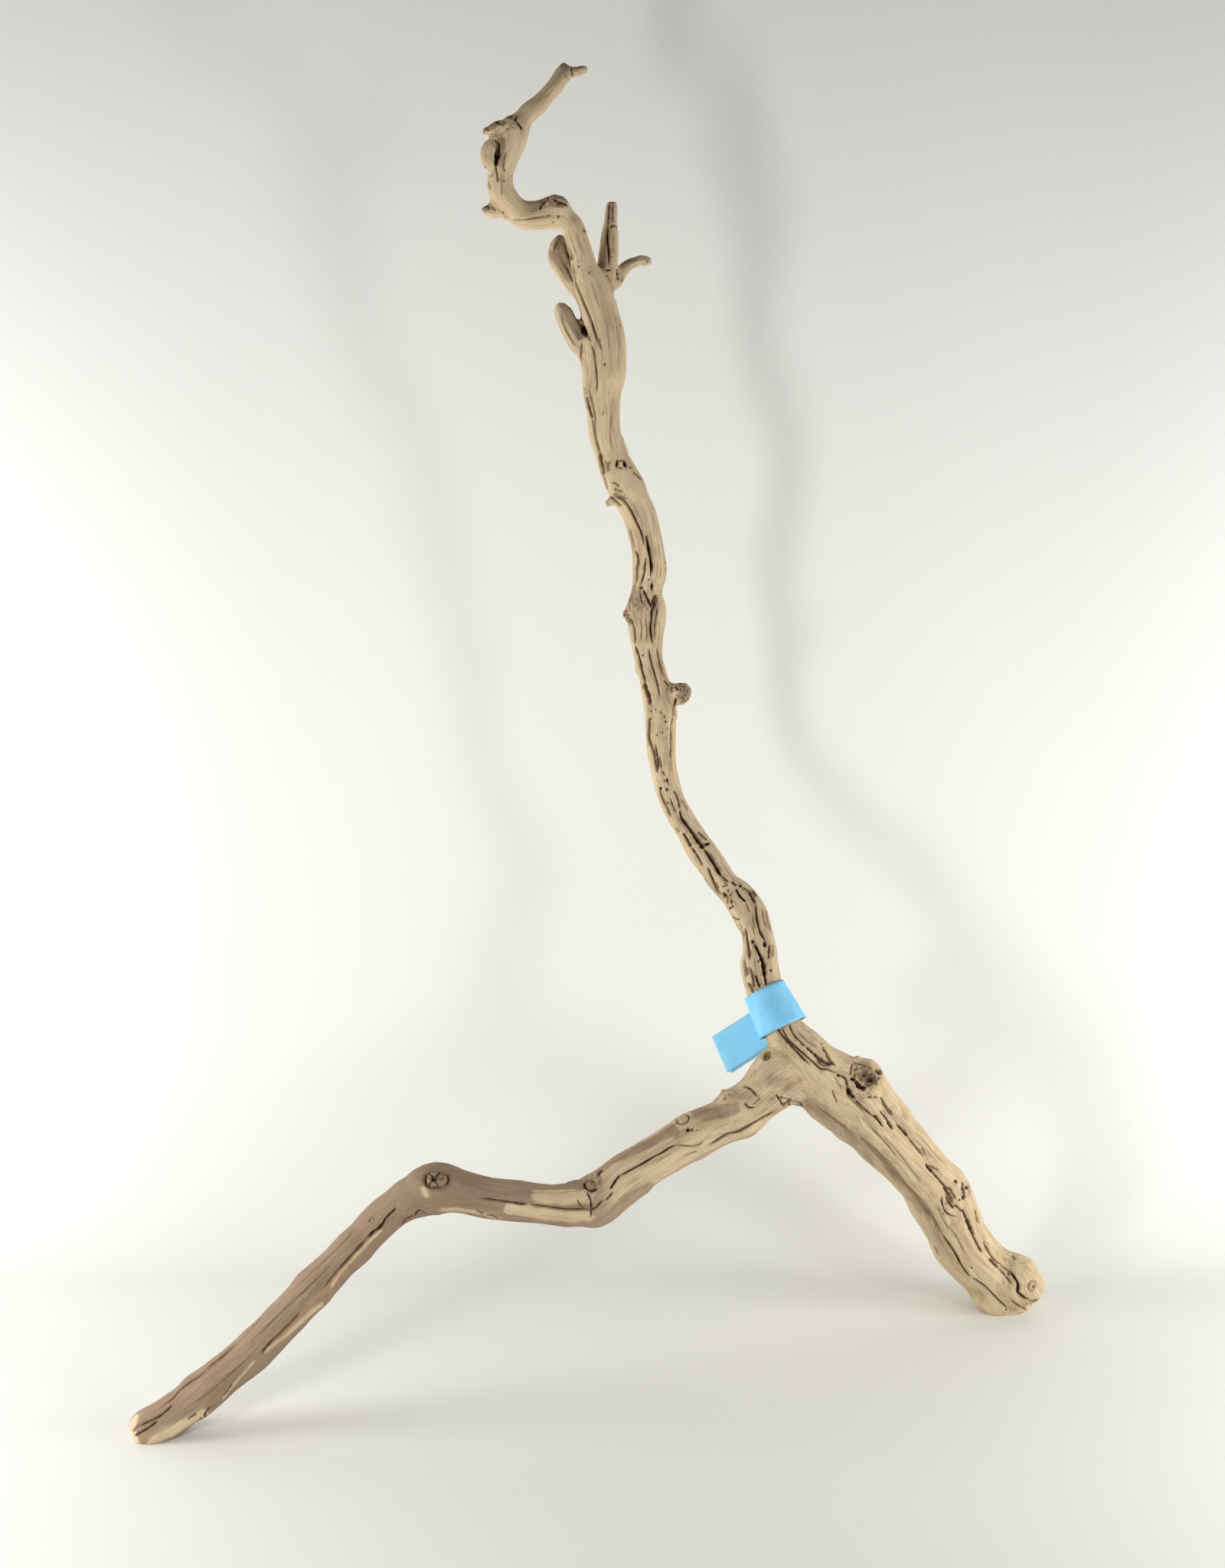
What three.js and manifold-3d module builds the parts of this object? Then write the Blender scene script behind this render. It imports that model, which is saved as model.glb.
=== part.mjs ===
// A piece of weathered vine driftwood, standing on two sawn feet, with a plain paper price band
// looped loosely round its stem. Millimetres, +Z up, -Y is the front.
//
// The wood grew as one piece, so it is one solid: a trunk that runs from the right foot, through
// the fork, up the twisting stem to the broken tip, with the left leg and every stub, knob and
// twig joined to it. Each limb is a loft: rings of an oval section along a smooth centreline.
import * as THREE from "three";
import { mergeVertices } from "three/addons/utils/BufferGeometryUtils.js";
import Module from "manifold-3d";

// ---------------------------------------------------------------------------- driving dimensions
// Each station of a limb: [x, y, z of the centre, half width seen from the front, depth / width].
const LIMBS = {
  trunk: [
    [324.8, 114.0, -23.1, 14.63, 1.20], [316.7, 108.0, -4.4, 19.41, 1.17], [308.0, 102.0, 14.2, 22.34, 1.15],
    [298.9, 96.6, 30.4, 22.25, 1.12], [286.4, 91.1, 44.7, 22.64, 1.09], [276.3, 86.0, 59.3, 22.97, 1.06],
    [268.7, 80.7, 75.7, 22.69, 1.03], [262.2, 75.4, 92.8, 24.25, 1.00], [254.7, 70.0, 108.4, 25.21, 0.98],
    [244.8, 64.1, 122.9, 22.58, 0.96], [233.8, 57.7, 136.9, 22.89, 0.93], [223.5, 51.3, 150.8, 23.84, 0.91],
    [212.7, 45.0, 163.9, 24.43, 0.89], [202.6, 39.1, 177.4, 25.65, 0.87], [192.7, 34.0, 189.9, 28.14, 0.86],
    [182.8, 28.8, 202.3, 29.75, 0.85], [168.4, 22.4, 213.3, 27.63, 0.84], [154.1, 16.5, 227.6, 23.82, 0.90],
    [142.8, 14.0, 244.2, 20.07, 0.97], [132.7, 17.4, 257.3, 15.55, 0.99], [124.7, 25.2, 270.2, 14.16, 1.00],
    [119.2, 32.0, 280.9, 13.79, 1.00], [116.0, 37.4, 289.2, 14.10, 0.99], [114.2, 43.2, 296.9, 14.23, 0.98],
    [113.8, 47.6, 302.6, 13.91, 0.97], [114.5, 52.0, 308.3, 12.44, 0.95], [113.5, 56.2, 314.1, 12.00, 0.94],
    [112.4, 60.0, 320.1, 11.61, 0.93], [110.8, 63.2, 325.7, 11.91, 0.92], [108.0, 66.8, 331.7, 13.06, 0.92],
    [105.2, 69.7, 336.8, 13.19, 0.93], [101.4, 72.9, 342.4, 12.80, 0.94], [97.6, 75.5, 347.0, 11.94, 0.96],
    [92.2, 78.0, 351.1, 10.69, 0.99], [87.6, 80.2, 355.8, 10.23, 1.02], [79.6, 84.5, 366.5, 10.35, 1.05],
    [71.6, 88.2, 376.8, 10.82, 1.07], [64.1, 91.4, 387.8, 10.07, 1.08], [56.7, 94.0, 399.7, 9.32, 1.09],
    [50.3, 96.1, 411.6, 9.20, 1.10], [45.7, 98.0, 424.8, 9.54, 1.10], [42.8, 99.4, 438.1, 9.82, 1.10],
    [41.0, 100.0, 452.2, 10.66, 1.09], [40.3, 99.7, 466.4, 11.21, 1.08], [40.3, 99.2, 477.1, 11.43, 1.07],
    [39.1, 98.5, 487.9, 11.41, 1.06], [36.8, 97.7, 498.0, 11.10, 1.04], [35.0, 96.8, 508.1, 10.57, 1.03],
    [31.5, 95.4, 521.8, 10.55, 1.01], [29.8, 94.0, 536.1, 12.05, 0.98], [29.5, 92.8, 547.3, 13.67, 0.93],
    [29.1, 91.4, 557.3, 15.22, 0.90], [29.1, 90.4, 564.4, 14.86, 0.91], [29.0, 89.4, 571.5, 12.26, 0.92],
    [29.6, 88.3, 578.6, 11.12, 0.94], [30.7, 87.1, 585.7, 11.89, 0.96], [31.2, 85.8, 594.5, 12.43, 0.98],
    [30.0, 84.0, 606.7, 11.73, 1.00], [27.7, 82.1, 620.0, 11.92, 0.99], [24.3, 80.2, 633.3, 12.34, 0.96],
    [19.8, 78.8, 642.5, 12.48, 0.95], [15.4, 77.4, 651.7, 13.57, 0.94], [10.9, 76.2, 659.7, 13.27, 0.95],
    [7.6, 75.1, 667.6, 12.59, 0.97], [4.3, 74.0, 675.6, 11.74, 0.99], [1.5, 73.0, 683.5, 11.17, 1.02],
    [-0.6, 71.8, 693.0, 11.81, 1.04], [-1.7, 70.6, 703.1, 11.79, 1.05], [-2.8, 69.0, 716.4, 12.48, 1.01],
    [-3.3, 67.9, 726.4, 14.20, 0.94], [-2.2, 66.9, 736.4, 15.81, 0.88], [-2.0, 66.0, 745.2, 16.33, 0.86],
    [-2.2, 65.2, 753.9, 16.42, 0.86], [-2.2, 64.4, 762.6, 15.74, 0.87], [-2.5, 63.9, 769.2, 14.64, 0.88],
    [-3.8, 63.2, 777.3, 13.43, 0.89], [-6.0, 62.5, 785.4, 13.25, 0.90], [-9.2, 61.7, 795.1, 12.42, 0.93],
    [-11.9, 60.8, 804.3, 10.78, 0.97], [-15.1, 60.0, 812.9, 9.15, 1.01], [-17.2, 59.1, 821.5, 8.33, 1.04],
    [-19.8, 58.2, 830.5, 8.05, 1.05], [-22.5, 57.4, 838.5, 8.04, 1.04], [-25.7, 56.8, 843.8, 8.03, 1.01],
    [-30.5, 56.1, 847.6, 8.82, 0.99], [-37.4, 55.1, 849.7, 9.89, 0.96], [-45.4, 54.0, 849.3, 10.15, 0.95],
    [-54.4, 52.1, 849.1, 9.87, 0.96], [-60.7, 50.4, 851.1, 9.33, 0.97], [-66.0, 48.4, 855.4, 9.32, 0.98],
    [-70.1, 46.7, 860.2, 9.57, 0.99], [-72.7, 45.1, 866.1, 8.92, 1.00], [-73.6, 44.0, 872.4, 9.01, 1.00],
    [-73.0, 43.1, 878.7, 8.73, 0.99], [-70.0, 42.0, 886.0, 8.19, 0.96], [-67.0, 41.1, 893.2, 8.18, 0.93],
    [-64.2, 40.5, 899.5, 8.70, 0.91], [-63.1, 40.1, 905.1, 9.48, 0.90], [-60.4, 40.0, 910.8, 8.95, 0.91],
    [-56.7, 40.2, 915.9, 6.84, 0.95], [-52.0, 40.8, 920.5, 6.63, 1.00], [-46.7, 41.8, 924.3, 6.42, 1.05],
    [-42.5, 43.1, 928.9, 5.68, 1.09], [-38.3, 44.6, 933.5, 5.42, 1.10], [-34.1, 46.5, 938.0, 5.68, 1.09],
    [-30.7, 48.5, 942.8, 6.32, 1.06], [-29.4, 50.5, 947.9, 6.06, 1.03], [-29.4, 52.0, 951.5, 3.95, 1.00],
    [-29.6, 52.0, 953.8, 1.84, 1.00],
  ],
  left_leg: [
    [146.4, 22.0, 230.4, 25.58, 0.90], [129.9, 10.1, 227.1, 23.76, 0.91], [119.4, 2.3, 221.0, 20.31, 0.92],
    [112.5, -2.0, 216.0, 18.31, 0.93], [107.3, -4.7, 212.3, 17.90, 0.93], [102.2, -7.0, 208.4, 18.73, 0.94],
    [96.5, -9.2, 205.0, 19.68, 0.95], [90.8, -11.1, 202.2, 17.98, 0.96], [84.6, -13.0, 199.3, 16.29, 0.97],
    [72.2, -16.8, 195.4, 16.60, 0.99], [63.1, -20.0, 191.9, 17.59, 1.00], [54.1, -23.8, 188.1, 16.34, 1.00],
    [42.8, -29.1, 182.5, 15.75, 0.98], [31.1, -34.9, 177.0, 15.89, 0.96], [19.9, -40.4, 171.6, 17.03, 0.94],
    [11.0, -44.6, 166.8, 17.95, 0.93], [3.7, -48.0, 161.6, 18.21, 0.92], [-3.5, -51.1, 157.0, 18.75, 0.92],
    [-11.2, -53.9, 154.0, 18.57, 0.93], [-20.1, -56.8, 153.5, 16.22, 0.96],
    [-30.0, -59.9, 154.2, 15.59, 1.00], [-39.8, -62.9, 155.5, 14.35, 1.04],
    [-49.7, -65.7, 157.6, 14.16, 1.05], [-66.0, -70.0, 161.5, 14.57, 1.03],
    [-82.3, -74.2, 165.7, 14.58, 0.99], [-98.0, -78.1, 170.8, 14.77, 0.94],
    [-106.1, -79.8, 173.3, 15.30, 0.92], [-113.6, -81.1, 175.3, 17.47, 0.90],
    [-121.2, -82.0, 176.0, 18.71, 0.90], [-128.3, -82.7, 174.6, 18.27, 0.92],
    [-134.8, -83.2, 171.3, 16.09, 0.98], [-141.9, -83.7, 167.9, 14.73, 1.04],
    [-150.2, -84.2, 162.3, 13.27, 1.08], [-157.9, -84.7, 156.0, 13.66, 1.08],
    [-165.1, -85.2, 149.5, 13.66, 1.08], [-172.3, -86.0, 141.9, 13.07, 1.08],
    [-181.7, -87.3, 132.4, 14.01, 1.08], [-191.1, -89.0, 123.1, 13.30, 1.07],
    [-200.5, -90.9, 113.3, 13.96, 1.07], [-209.8, -92.9, 104.1, 15.06, 1.07],
    [-218.6, -95.0, 94.9, 14.02, 1.07], [-228.0, -97.2, 85.2, 13.97, 1.06],
    [-241.8, -100.2, 71.2, 14.31, 1.06], [-251.2, -102.0, 61.9, 14.80, 1.06],
    [-261.1, -103.7, 53.1, 14.26, 1.06], [-276.6, -106.1, 40.5, 14.27, 1.07],
    [-292.1, -108.4, 27.8, 15.37, 1.08], [-302.7, -109.8, 20.1, 14.39, 1.09],
    [-313.7, -111.3, 12.4, 15.11, 1.10], [-322.6, -112.4, 6.9, 15.38, 1.11],
    [-330.9, -113.4, 2.0, 14.84, 1.11], [-336.4, -114.0, -1.3, 12.09, 1.12],
  ],
  foot_knob: [
    [298.3, 94.0, 38.8, 14.40, 0.95], [311.2, 90.3, 32.7, 17.99, 0.95], [320.7, 87.6, 27.4, 19.77, 0.95],
    [328.9, 85.2, 22.7, 16.77, 0.95], [335.9, 83.2, 19.1, 11.37, 0.95], [340.0, 82.0, 17.0, 5.39, 0.95],
  ],
  elbow_knot: [
    [-44.8, 52.0, 852.0, 7.47, 0.95], [-39.4, 52.7, 854.6, 9.07, 0.95], [-33.6, 53.3, 854.3, 9.34, 0.95],
    [-28.3, 54.0, 851.4, 8.01, 0.95],
  ],
  leaf_stub: [
    [-10.8, 63.0, 789.7, 8.11, 0.80], [-19.0, 65.7, 796.9, 7.57, 0.76], [-24.9, 68.0, 803.7, 7.03, 0.72],
    [-29.8, 70.3, 811.5, 7.84, 0.69], [-33.0, 72.1, 818.3, 8.93, 0.66], [-33.3, 73.6, 824.6, 7.84, 0.64],
    [-32.5, 75.2, 830.8, 5.68, 0.61], [-31.9, 76.0, 834.2, 2.70, 0.60],
  ],
  low_stub: [
    [-8.8, 65.0, 743.1, 8.71, 0.85], [-14.2, 64.3, 751.8, 7.61, 0.80], [-21.2, 63.0, 762.8, 7.87, 0.75],
    [-26.6, 61.4, 772.1, 7.31, 0.70], [-29.7, 59.9, 779.8, 6.76, 0.66], [-31.6, 58.7, 785.3, 5.13, 0.63],
    [-31.3, 58.0, 788.3, 2.70, 0.62],
  ],
  twig_up: [
    [-8.7, 64.0, 786.4, 8.66, 0.95], [-2.2, 68.4, 797.7, 7.58, 0.95], [-0.0, 72.0, 808.7, 7.04, 0.95],
    [1.3, 76.0, 821.7, 6.88, 0.95], [2.4, 79.7, 834.2, 6.23, 0.95], [2.7, 81.1, 838.9, 5.04, 0.95],
    [3.2, 83.6, 847.8, 4.55, 0.95], [3.8, 85.4, 854.6, 4.23, 0.95], [3.8, 86.0, 856.7, 3.25, 0.95],
  ],
  twig_side: [
    [1.1, 70.0, 798.1, 7.04, 0.90], [6.5, 75.6, 802.4, 5.70, 0.88], [10.8, 82.0, 807.8, 4.73, 0.86],
    [15.2, 87.7, 811.6, 4.31, 0.85], [21.3, 94.4, 813.8, 4.05, 0.83], [26.2, 99.7, 814.1, 4.17, 0.81],
    [29.6, 103.3, 813.8, 3.73, 0.81], [31.8, 106.0, 814.4, 2.20, 0.80],
  ],
  torn_nub: [
    [-65.2, 39.0, 910.3, 6.84, 0.95], [-73.5, 37.0, 910.4, 4.73, 0.95], [-79.2, 34.0, 907.9, 3.41, 0.95],
    [-82.7, 31.2, 907.0, 2.36, 0.95], [-84.0, 30.0, 906.7, 1.31, 0.95],
  ],
  torn_collar: [
    [-61.0, 39.0, 908.8, 6.84, 0.90], [-65.6, 37.2, 913.5, 6.83, 0.84], [-67.6, 36.0, 917.1, 4.46, 0.80],
  ],
  flake_stub: [
    [-74.1, 43.0, 875.5, 6.35, 0.80], [-77.1, 39.7, 880.9, 5.55, 0.74], [-80.1, 37.0, 887.2, 6.06, 0.66],
    [-81.5, 35.5, 893.0, 5.53, 0.60], [-79.3, 34.3, 899.2, 4.21, 0.54], [-77.9, 34.0, 902.3, 2.10, 0.50],
  ],
  elbow_nub: [
    [-71.8, 48.0, 854.4, 7.98, 0.95], [-77.6, 46.3, 852.7, 5.59, 0.95], [-82.9, 44.9, 853.3, 3.46, 0.95],
    [-86.3, 44.0, 853.9, 2.02, 0.95],
  ],
  top_fork: [
    [-29.4, 48.0, 944.9, 6.05, 0.95], [-25.7, 49.7, 945.4, 5.26, 0.95], [-22.8, 51.0, 945.7, 4.32, 0.95],
    [-18.1, 53.2, 946.8, 3.48, 0.95], [-14.4, 55.0, 948.1, 2.43, 0.95], [-12.3, 56.0, 948.8, 1.48, 0.95],
  ],
  bud_nub: [
    [12.6, 76.0, 648.0, 7.75, 0.95], [6.5, 73.0, 645.1, 4.15, 0.95], [2.6, 71.3, 644.3, 3.04, 0.95],
    [-0.4, 70.0, 644.0, 2.21, 0.95],
  ],
  knot_nub: [
    [22.3, 91.0, 559.2, 9.02, 0.95], [16.1, 88.1, 558.0, 5.63, 0.95], [13.3, 86.8, 558.3, 4.22, 0.95],
    [11.6, 86.0, 558.5, 2.81, 0.95],
  ],
  side_knob: [
    [39.6, 98.0, 496.8, 9.11, 0.90], [48.7, 95.0, 497.5, 7.11, 0.92], [53.8, 93.3, 497.3, 8.53, 0.93],
    [57.1, 92.1, 496.4, 8.24, 0.94], [60.0, 91.0, 494.9, 5.68, 0.95],
  ],
  crotch_nub: [
    [95.3, -9.0, 215.2, 8.98, 0.95], [88.9, -13.8, 220.6, 4.48, 0.95], [85.4, -16.5, 224.0, 3.07, 0.95],
    [83.6, -18.0, 226.1, 2.23, 0.95],
  ],
  fork_knot: [
    [178.2, 28.0, 201.4, 17.16, 0.95], [190.1, 23.6, 216.4, 17.09, 0.95], [197.1, 21.4, 222.7, 15.36, 0.95],
    [202.0, 20.0, 226.3, 9.66, 0.95],
  ],
  flake_root: [
    [-68.8, 46.0, 889.4, 5.29, 0.95], [-72.3, 44.8, 896.2, 4.76, 0.95], [-74.4, 43.8, 901.9, 4.22, 0.95],
    [-73.8, 43.0, 907.1, 4.22, 0.95],
  ],
  crotch_fill: [
    [128.7, 6.0, 212.3, 7.35, 0.95], [141.0, 11.8, 209.5, 7.37, 0.95], [153.5, 18.0, 202.8, 7.97, 0.95],
  ],
  rim_nub: [
    [184.0, 23.0, 228.8, 5.12, 0.95], [185.5, 21.8, 235.3, 3.41, 0.95], [186.5, 21.0, 239.5, 1.70, 0.95],
  ],
};

const ELBOW_LOW = 84;
const ELBOW_HIGH = 90;
const SIGHT_PITCH = THREE.MathUtils.degToRad(15); // the front view looks down by this
const LOOP_AT = [123.5, 29.7, 272.3];
const LOOP_UP = [-0.438, 0.380, 0.815];
const FLAG_AT = [116.8, 38.3, 255.0]; // middle of the flag's root, on the back of the loop
const FLAG_ALONG = [-0.794, 0.146, -0.590];
const FLAG_UP = [-0.346, 0.688, 0.637];

// The trunk turns more sharply than its own radius at these stations, so it is lofted in runs
// that overlap there, each ending in a rounded cap.
const TRUNK_BREAKS = [ELBOW_LOW, ELBOW_HIGH];

const SIDES_LARGE = 14; // corners of a ring on the trunk and the legs
const SIDES_SMALL = 10; // corners of a ring on the stubs and twigs
const SIGHT = new THREE.Vector3(0, Math.cos(SIGHT_PITCH), -Math.sin(SIGHT_PITCH)); // widths are measured across this

const FLOOR_Z = 0; // the feet are sawn flat in this plane

// The paper band: a loop round the stem whose two ends are stuck together as a flag.
const BAND_WIDTH = 32; // along the stem
const PAPER = 0.6; // two printed faces and their glue
const LOOP_CENTRE = new THREE.Vector3(...LOOP_AT);
const LOOP_AXIS = new THREE.Vector3(...LOOP_UP).normalize();
const LOOP_HALF = [17.3, 20.0]; // inside half sizes at mid height, across and front to back
const LOOP_FLARE = 0.16; // the loop is wider at its lower edge than at its upper one, as a share of its size
const FLAG_LENGTH = 41; // from the back of the loop to its free end

// ---------------------------------------------------------------------------- lofting
const wasm = await Module();
wasm.setup();

function solid(geometry) {
  const g = geometry.index ? geometry.toNonIndexed() : geometry.clone();
  g.deleteAttribute("normal");
  g.deleteAttribute("uv");
  const m = mergeVertices(g, 1e-4);
  return new wasm.Manifold(
    new wasm.Mesh({ numProp: 3, vertProperties: m.attributes.position.array, triVerts: new Uint32Array(m.index.array) }),
  );
}

function geometryOf(manifold) {
  const m = manifold.getMesh();
  const v = new Float32Array(m.numVert * 3);
  for (let i = 0; i < m.numVert; i++) v.set(m.vertProperties.subarray(i * m.numProp, i * m.numProp + 3), i * 3);
  const g = new THREE.BufferGeometry();
  g.setAttribute("position", new THREE.BufferAttribute(v, 3));
  g.setIndex(new THREE.BufferAttribute(m.triVerts, 1));
  g.computeVertexNormals();
  return g;
}

// One closed skin over oval rings. A rounded cap adds a smaller ring and a pole past the last station.
function loft(rows, sides, roundStart, roundEnd) {
  const curve = new THREE.CatmullRomCurve3(rows.map((r) => new THREE.Vector3(r[0], r[1], r[2])), false, "centripetal");
  const last = rows.length - 1;
  const rings = rows.map((r, i) => {
    const t = curve.getTangent(i / last);
    return { c: new THREE.Vector3(r[0], r[1], r[2]), t, w: r[3], d: r[3] * r[4] };
  });
  const cap = (ring, dir) => [
    { ...ring, c: ring.c.clone().addScaledVector(ring.t, dir * ring.w * 0.62), w: ring.w * 0.76, d: ring.d * 0.76 },
    ring.c.clone().addScaledVector(ring.t, dir * ring.w * 0.95),
  ];
  let first = rings[0].c.clone(),
    pole = rings[last].c.clone();
  if (roundStart) {
    const [ring, tip] = cap(rings[0], -1);
    rings.unshift(ring);
    first = tip;
  }
  if (roundEnd) {
    const [ring, tip] = cap(rings[rings.length - 1], 1);
    rings.push(ring);
    pole = tip;
  }
  const points = [];
  for (const { c, t, w, d } of rings) {
    const side = new THREE.Vector3().crossVectors(t, SIGHT).normalize();
    const front = new THREE.Vector3().crossVectors(side, t).normalize();
    for (let k = 0; k < sides; k++) {
      const a = (2 * Math.PI * k) / sides;
      points.push(c.clone().addScaledVector(side, w * Math.cos(a)).addScaledVector(front, d * Math.sin(a)));
    }
  }
  const start = points.push(first) - 1,
    end = points.push(pole) - 1,
    index = [];
  for (let i = 0; i < rings.length - 1; i++)
    for (let k = 0; k < sides; k++) {
      const n = (k + 1) % sides,
        a = i * sides + k,
        b = i * sides + n,
        c = a + sides,
        e = b + sides;
      index.push(a, b, e, a, e, c);
    }
  for (let k = 0; k < sides; k++) {
    const n = (k + 1) % sides,
      top = (rings.length - 1) * sides;
    index.push(start, n, k, end, top + k, top + n);
  }
  const g = new THREE.BufferGeometry().setFromPoints(points);
  g.setIndex(index);
  const s = solid(g);
  if (s.volume() > 0) return s;
  for (let i = 0; i < index.length; i += 3) [index[i + 1], index[i + 2]] = [index[i + 2], index[i + 1]];
  g.setIndex(index);
  return solid(g);
}

// ---------------------------------------------------------------------------- the wood
let wood = null;
const join = (s) => (wood = wood ? wood.add(s) : s);
for (const [name, rows] of Object.entries(LIMBS)) {
  if (name === "trunk") {
    const stops = [0, ...TRUNK_BREAKS, rows.length - 1];
    for (let i = 0; i < stops.length - 1; i++)
      join(loft(rows.slice(stops[i], stops[i + 1] + 1), SIDES_LARGE, i > 0, i < stops.length - 2));
  } else if (name === "left_leg") join(loft(rows, SIDES_LARGE, false, false));
  else join(loft(rows, SIDES_SMALL, false, false));
}
const ground = new THREE.BoxGeometry(2000, 2000, 200).translate(0, 0, FLOOR_Z - 100);
wood = wood.subtract(solid(ground));

const driftwood = new THREE.Mesh(
  geometryOf(wood),
  new THREE.MeshStandardMaterial({ color: 0xc9ad83, roughness: 0.85, metalness: 0 }),
);
driftwood.name = "driftwood";

// ---------------------------------------------------------------------------- the paper band
const loopShape = new THREE.Shape().absellipse(0, 0, LOOP_HALF[0] + PAPER, LOOP_HALF[1] + PAPER, 0, 2 * Math.PI);
loopShape.holes.push(new THREE.Path().absellipse(0, 0, LOOP_HALF[0], LOOP_HALF[1], 0, 2 * Math.PI));
const loop = new THREE.ExtrudeGeometry(loopShape, { depth: BAND_WIDTH, bevelEnabled: false, curveSegments: 26 }).translate(0, 0, -BAND_WIDTH / 2);
const p = loop.attributes.position;
for (let i = 0; i < p.count; i++) {
  const k = 1 - (LOOP_FLARE * p.getZ(i)) / BAND_WIDTH;
  p.setXY(i, p.getX(i) * k, p.getY(i) * k);
}
const acrossStem = new THREE.Vector3().crossVectors(LOOP_AXIS, SIGHT).negate().normalize();
const towardsBack = new THREE.Vector3().crossVectors(LOOP_AXIS, acrossStem).normalize();
loop.applyMatrix4(new THREE.Matrix4().makeBasis(acrossStem, towardsBack, LOOP_AXIS).setPosition(LOOP_CENTRE));

const flagAlong = new THREE.Vector3(...FLAG_ALONG).normalize();
const flagFace = new THREE.Vector3().crossVectors(new THREE.Vector3(...FLAG_UP), flagAlong).normalize();
const flagUp = new THREE.Vector3().crossVectors(flagAlong, flagFace).normalize();
const flag = new THREE.BoxGeometry(FLAG_LENGTH, PAPER * 2, BAND_WIDTH)
  .translate(FLAG_LENGTH / 2, 0, 0)
  .applyMatrix4(new THREE.Matrix4().makeBasis(flagAlong, flagFace, flagUp).setPosition(new THREE.Vector3(...FLAG_AT)));

const paperTag = new THREE.Mesh(
  geometryOf(solid(loop).add(solid(flag))),
  new THREE.MeshStandardMaterial({ color: 0x6fc1ee, roughness: 0.7, metalness: 0 }),
);
paperTag.name = "paper_tag";

const part = new THREE.Group();
part.name = "driftwood_branch";
part.add(driftwood, paperTag);

export default part;
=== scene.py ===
"""A piece of weathered vine driftwood standing on its two sawn feet, with a plain paper band
looped round the stem. The wood is one skin: lofted limbs are fused, the skin is refined where
it is carved, and cracks, slits, worm holes, knots and weather tones are worked into it, with
painted shade in the carved hollows and on shaded sides and painted highlight on lit rims and ridges.

Lengths in the tables are millimetres in the part's frame. Cracks and knots on the front are
listed by where they show in the front view, in pixels of a 1600 x 2048 frame, and are carved
into the surface that the view meets there.
"""
import math

import bmesh
import bpy
import numpy as np
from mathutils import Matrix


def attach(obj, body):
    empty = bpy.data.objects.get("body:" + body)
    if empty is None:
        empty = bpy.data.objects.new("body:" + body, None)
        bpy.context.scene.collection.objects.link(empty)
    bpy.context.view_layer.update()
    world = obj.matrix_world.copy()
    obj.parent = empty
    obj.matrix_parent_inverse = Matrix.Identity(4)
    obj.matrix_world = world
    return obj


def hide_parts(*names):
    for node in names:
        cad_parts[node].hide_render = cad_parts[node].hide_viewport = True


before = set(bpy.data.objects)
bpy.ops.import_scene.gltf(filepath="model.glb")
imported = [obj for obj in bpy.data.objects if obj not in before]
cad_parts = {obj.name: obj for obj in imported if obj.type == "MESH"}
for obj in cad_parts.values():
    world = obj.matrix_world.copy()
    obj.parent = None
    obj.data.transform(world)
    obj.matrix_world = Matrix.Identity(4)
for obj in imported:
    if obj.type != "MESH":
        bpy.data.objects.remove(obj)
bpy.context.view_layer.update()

rng = np.random.default_rng(20417)

# ------------------------------------------------------------------------------- the front view
FRAME_W, FRAME_H = 1600, 2048
PITCH = math.radians(15.0)
FOCAL = 2000.0 / 0.53  # pixels
EYE = np.array([4.302, -1995.863, 987.638])  # mm
AHEAD = np.array([0.0, math.cos(PITCH), -math.sin(PITCH)])
RIGHT = np.array([1.0, 0.0, 0.0])
UP = np.array([0.0, math.sin(PITCH), math.cos(PITCH)])


def to_view(p):
    """Pixel place and distance ahead of points in mm."""
    d = p - EYE
    z = d @ AHEAD
    return np.stack([FRAME_W / 2 + FOCAL * (d @ RIGHT) / z, FRAME_H / 2 - FOCAL * (d @ UP) / z], -1), z


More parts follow.
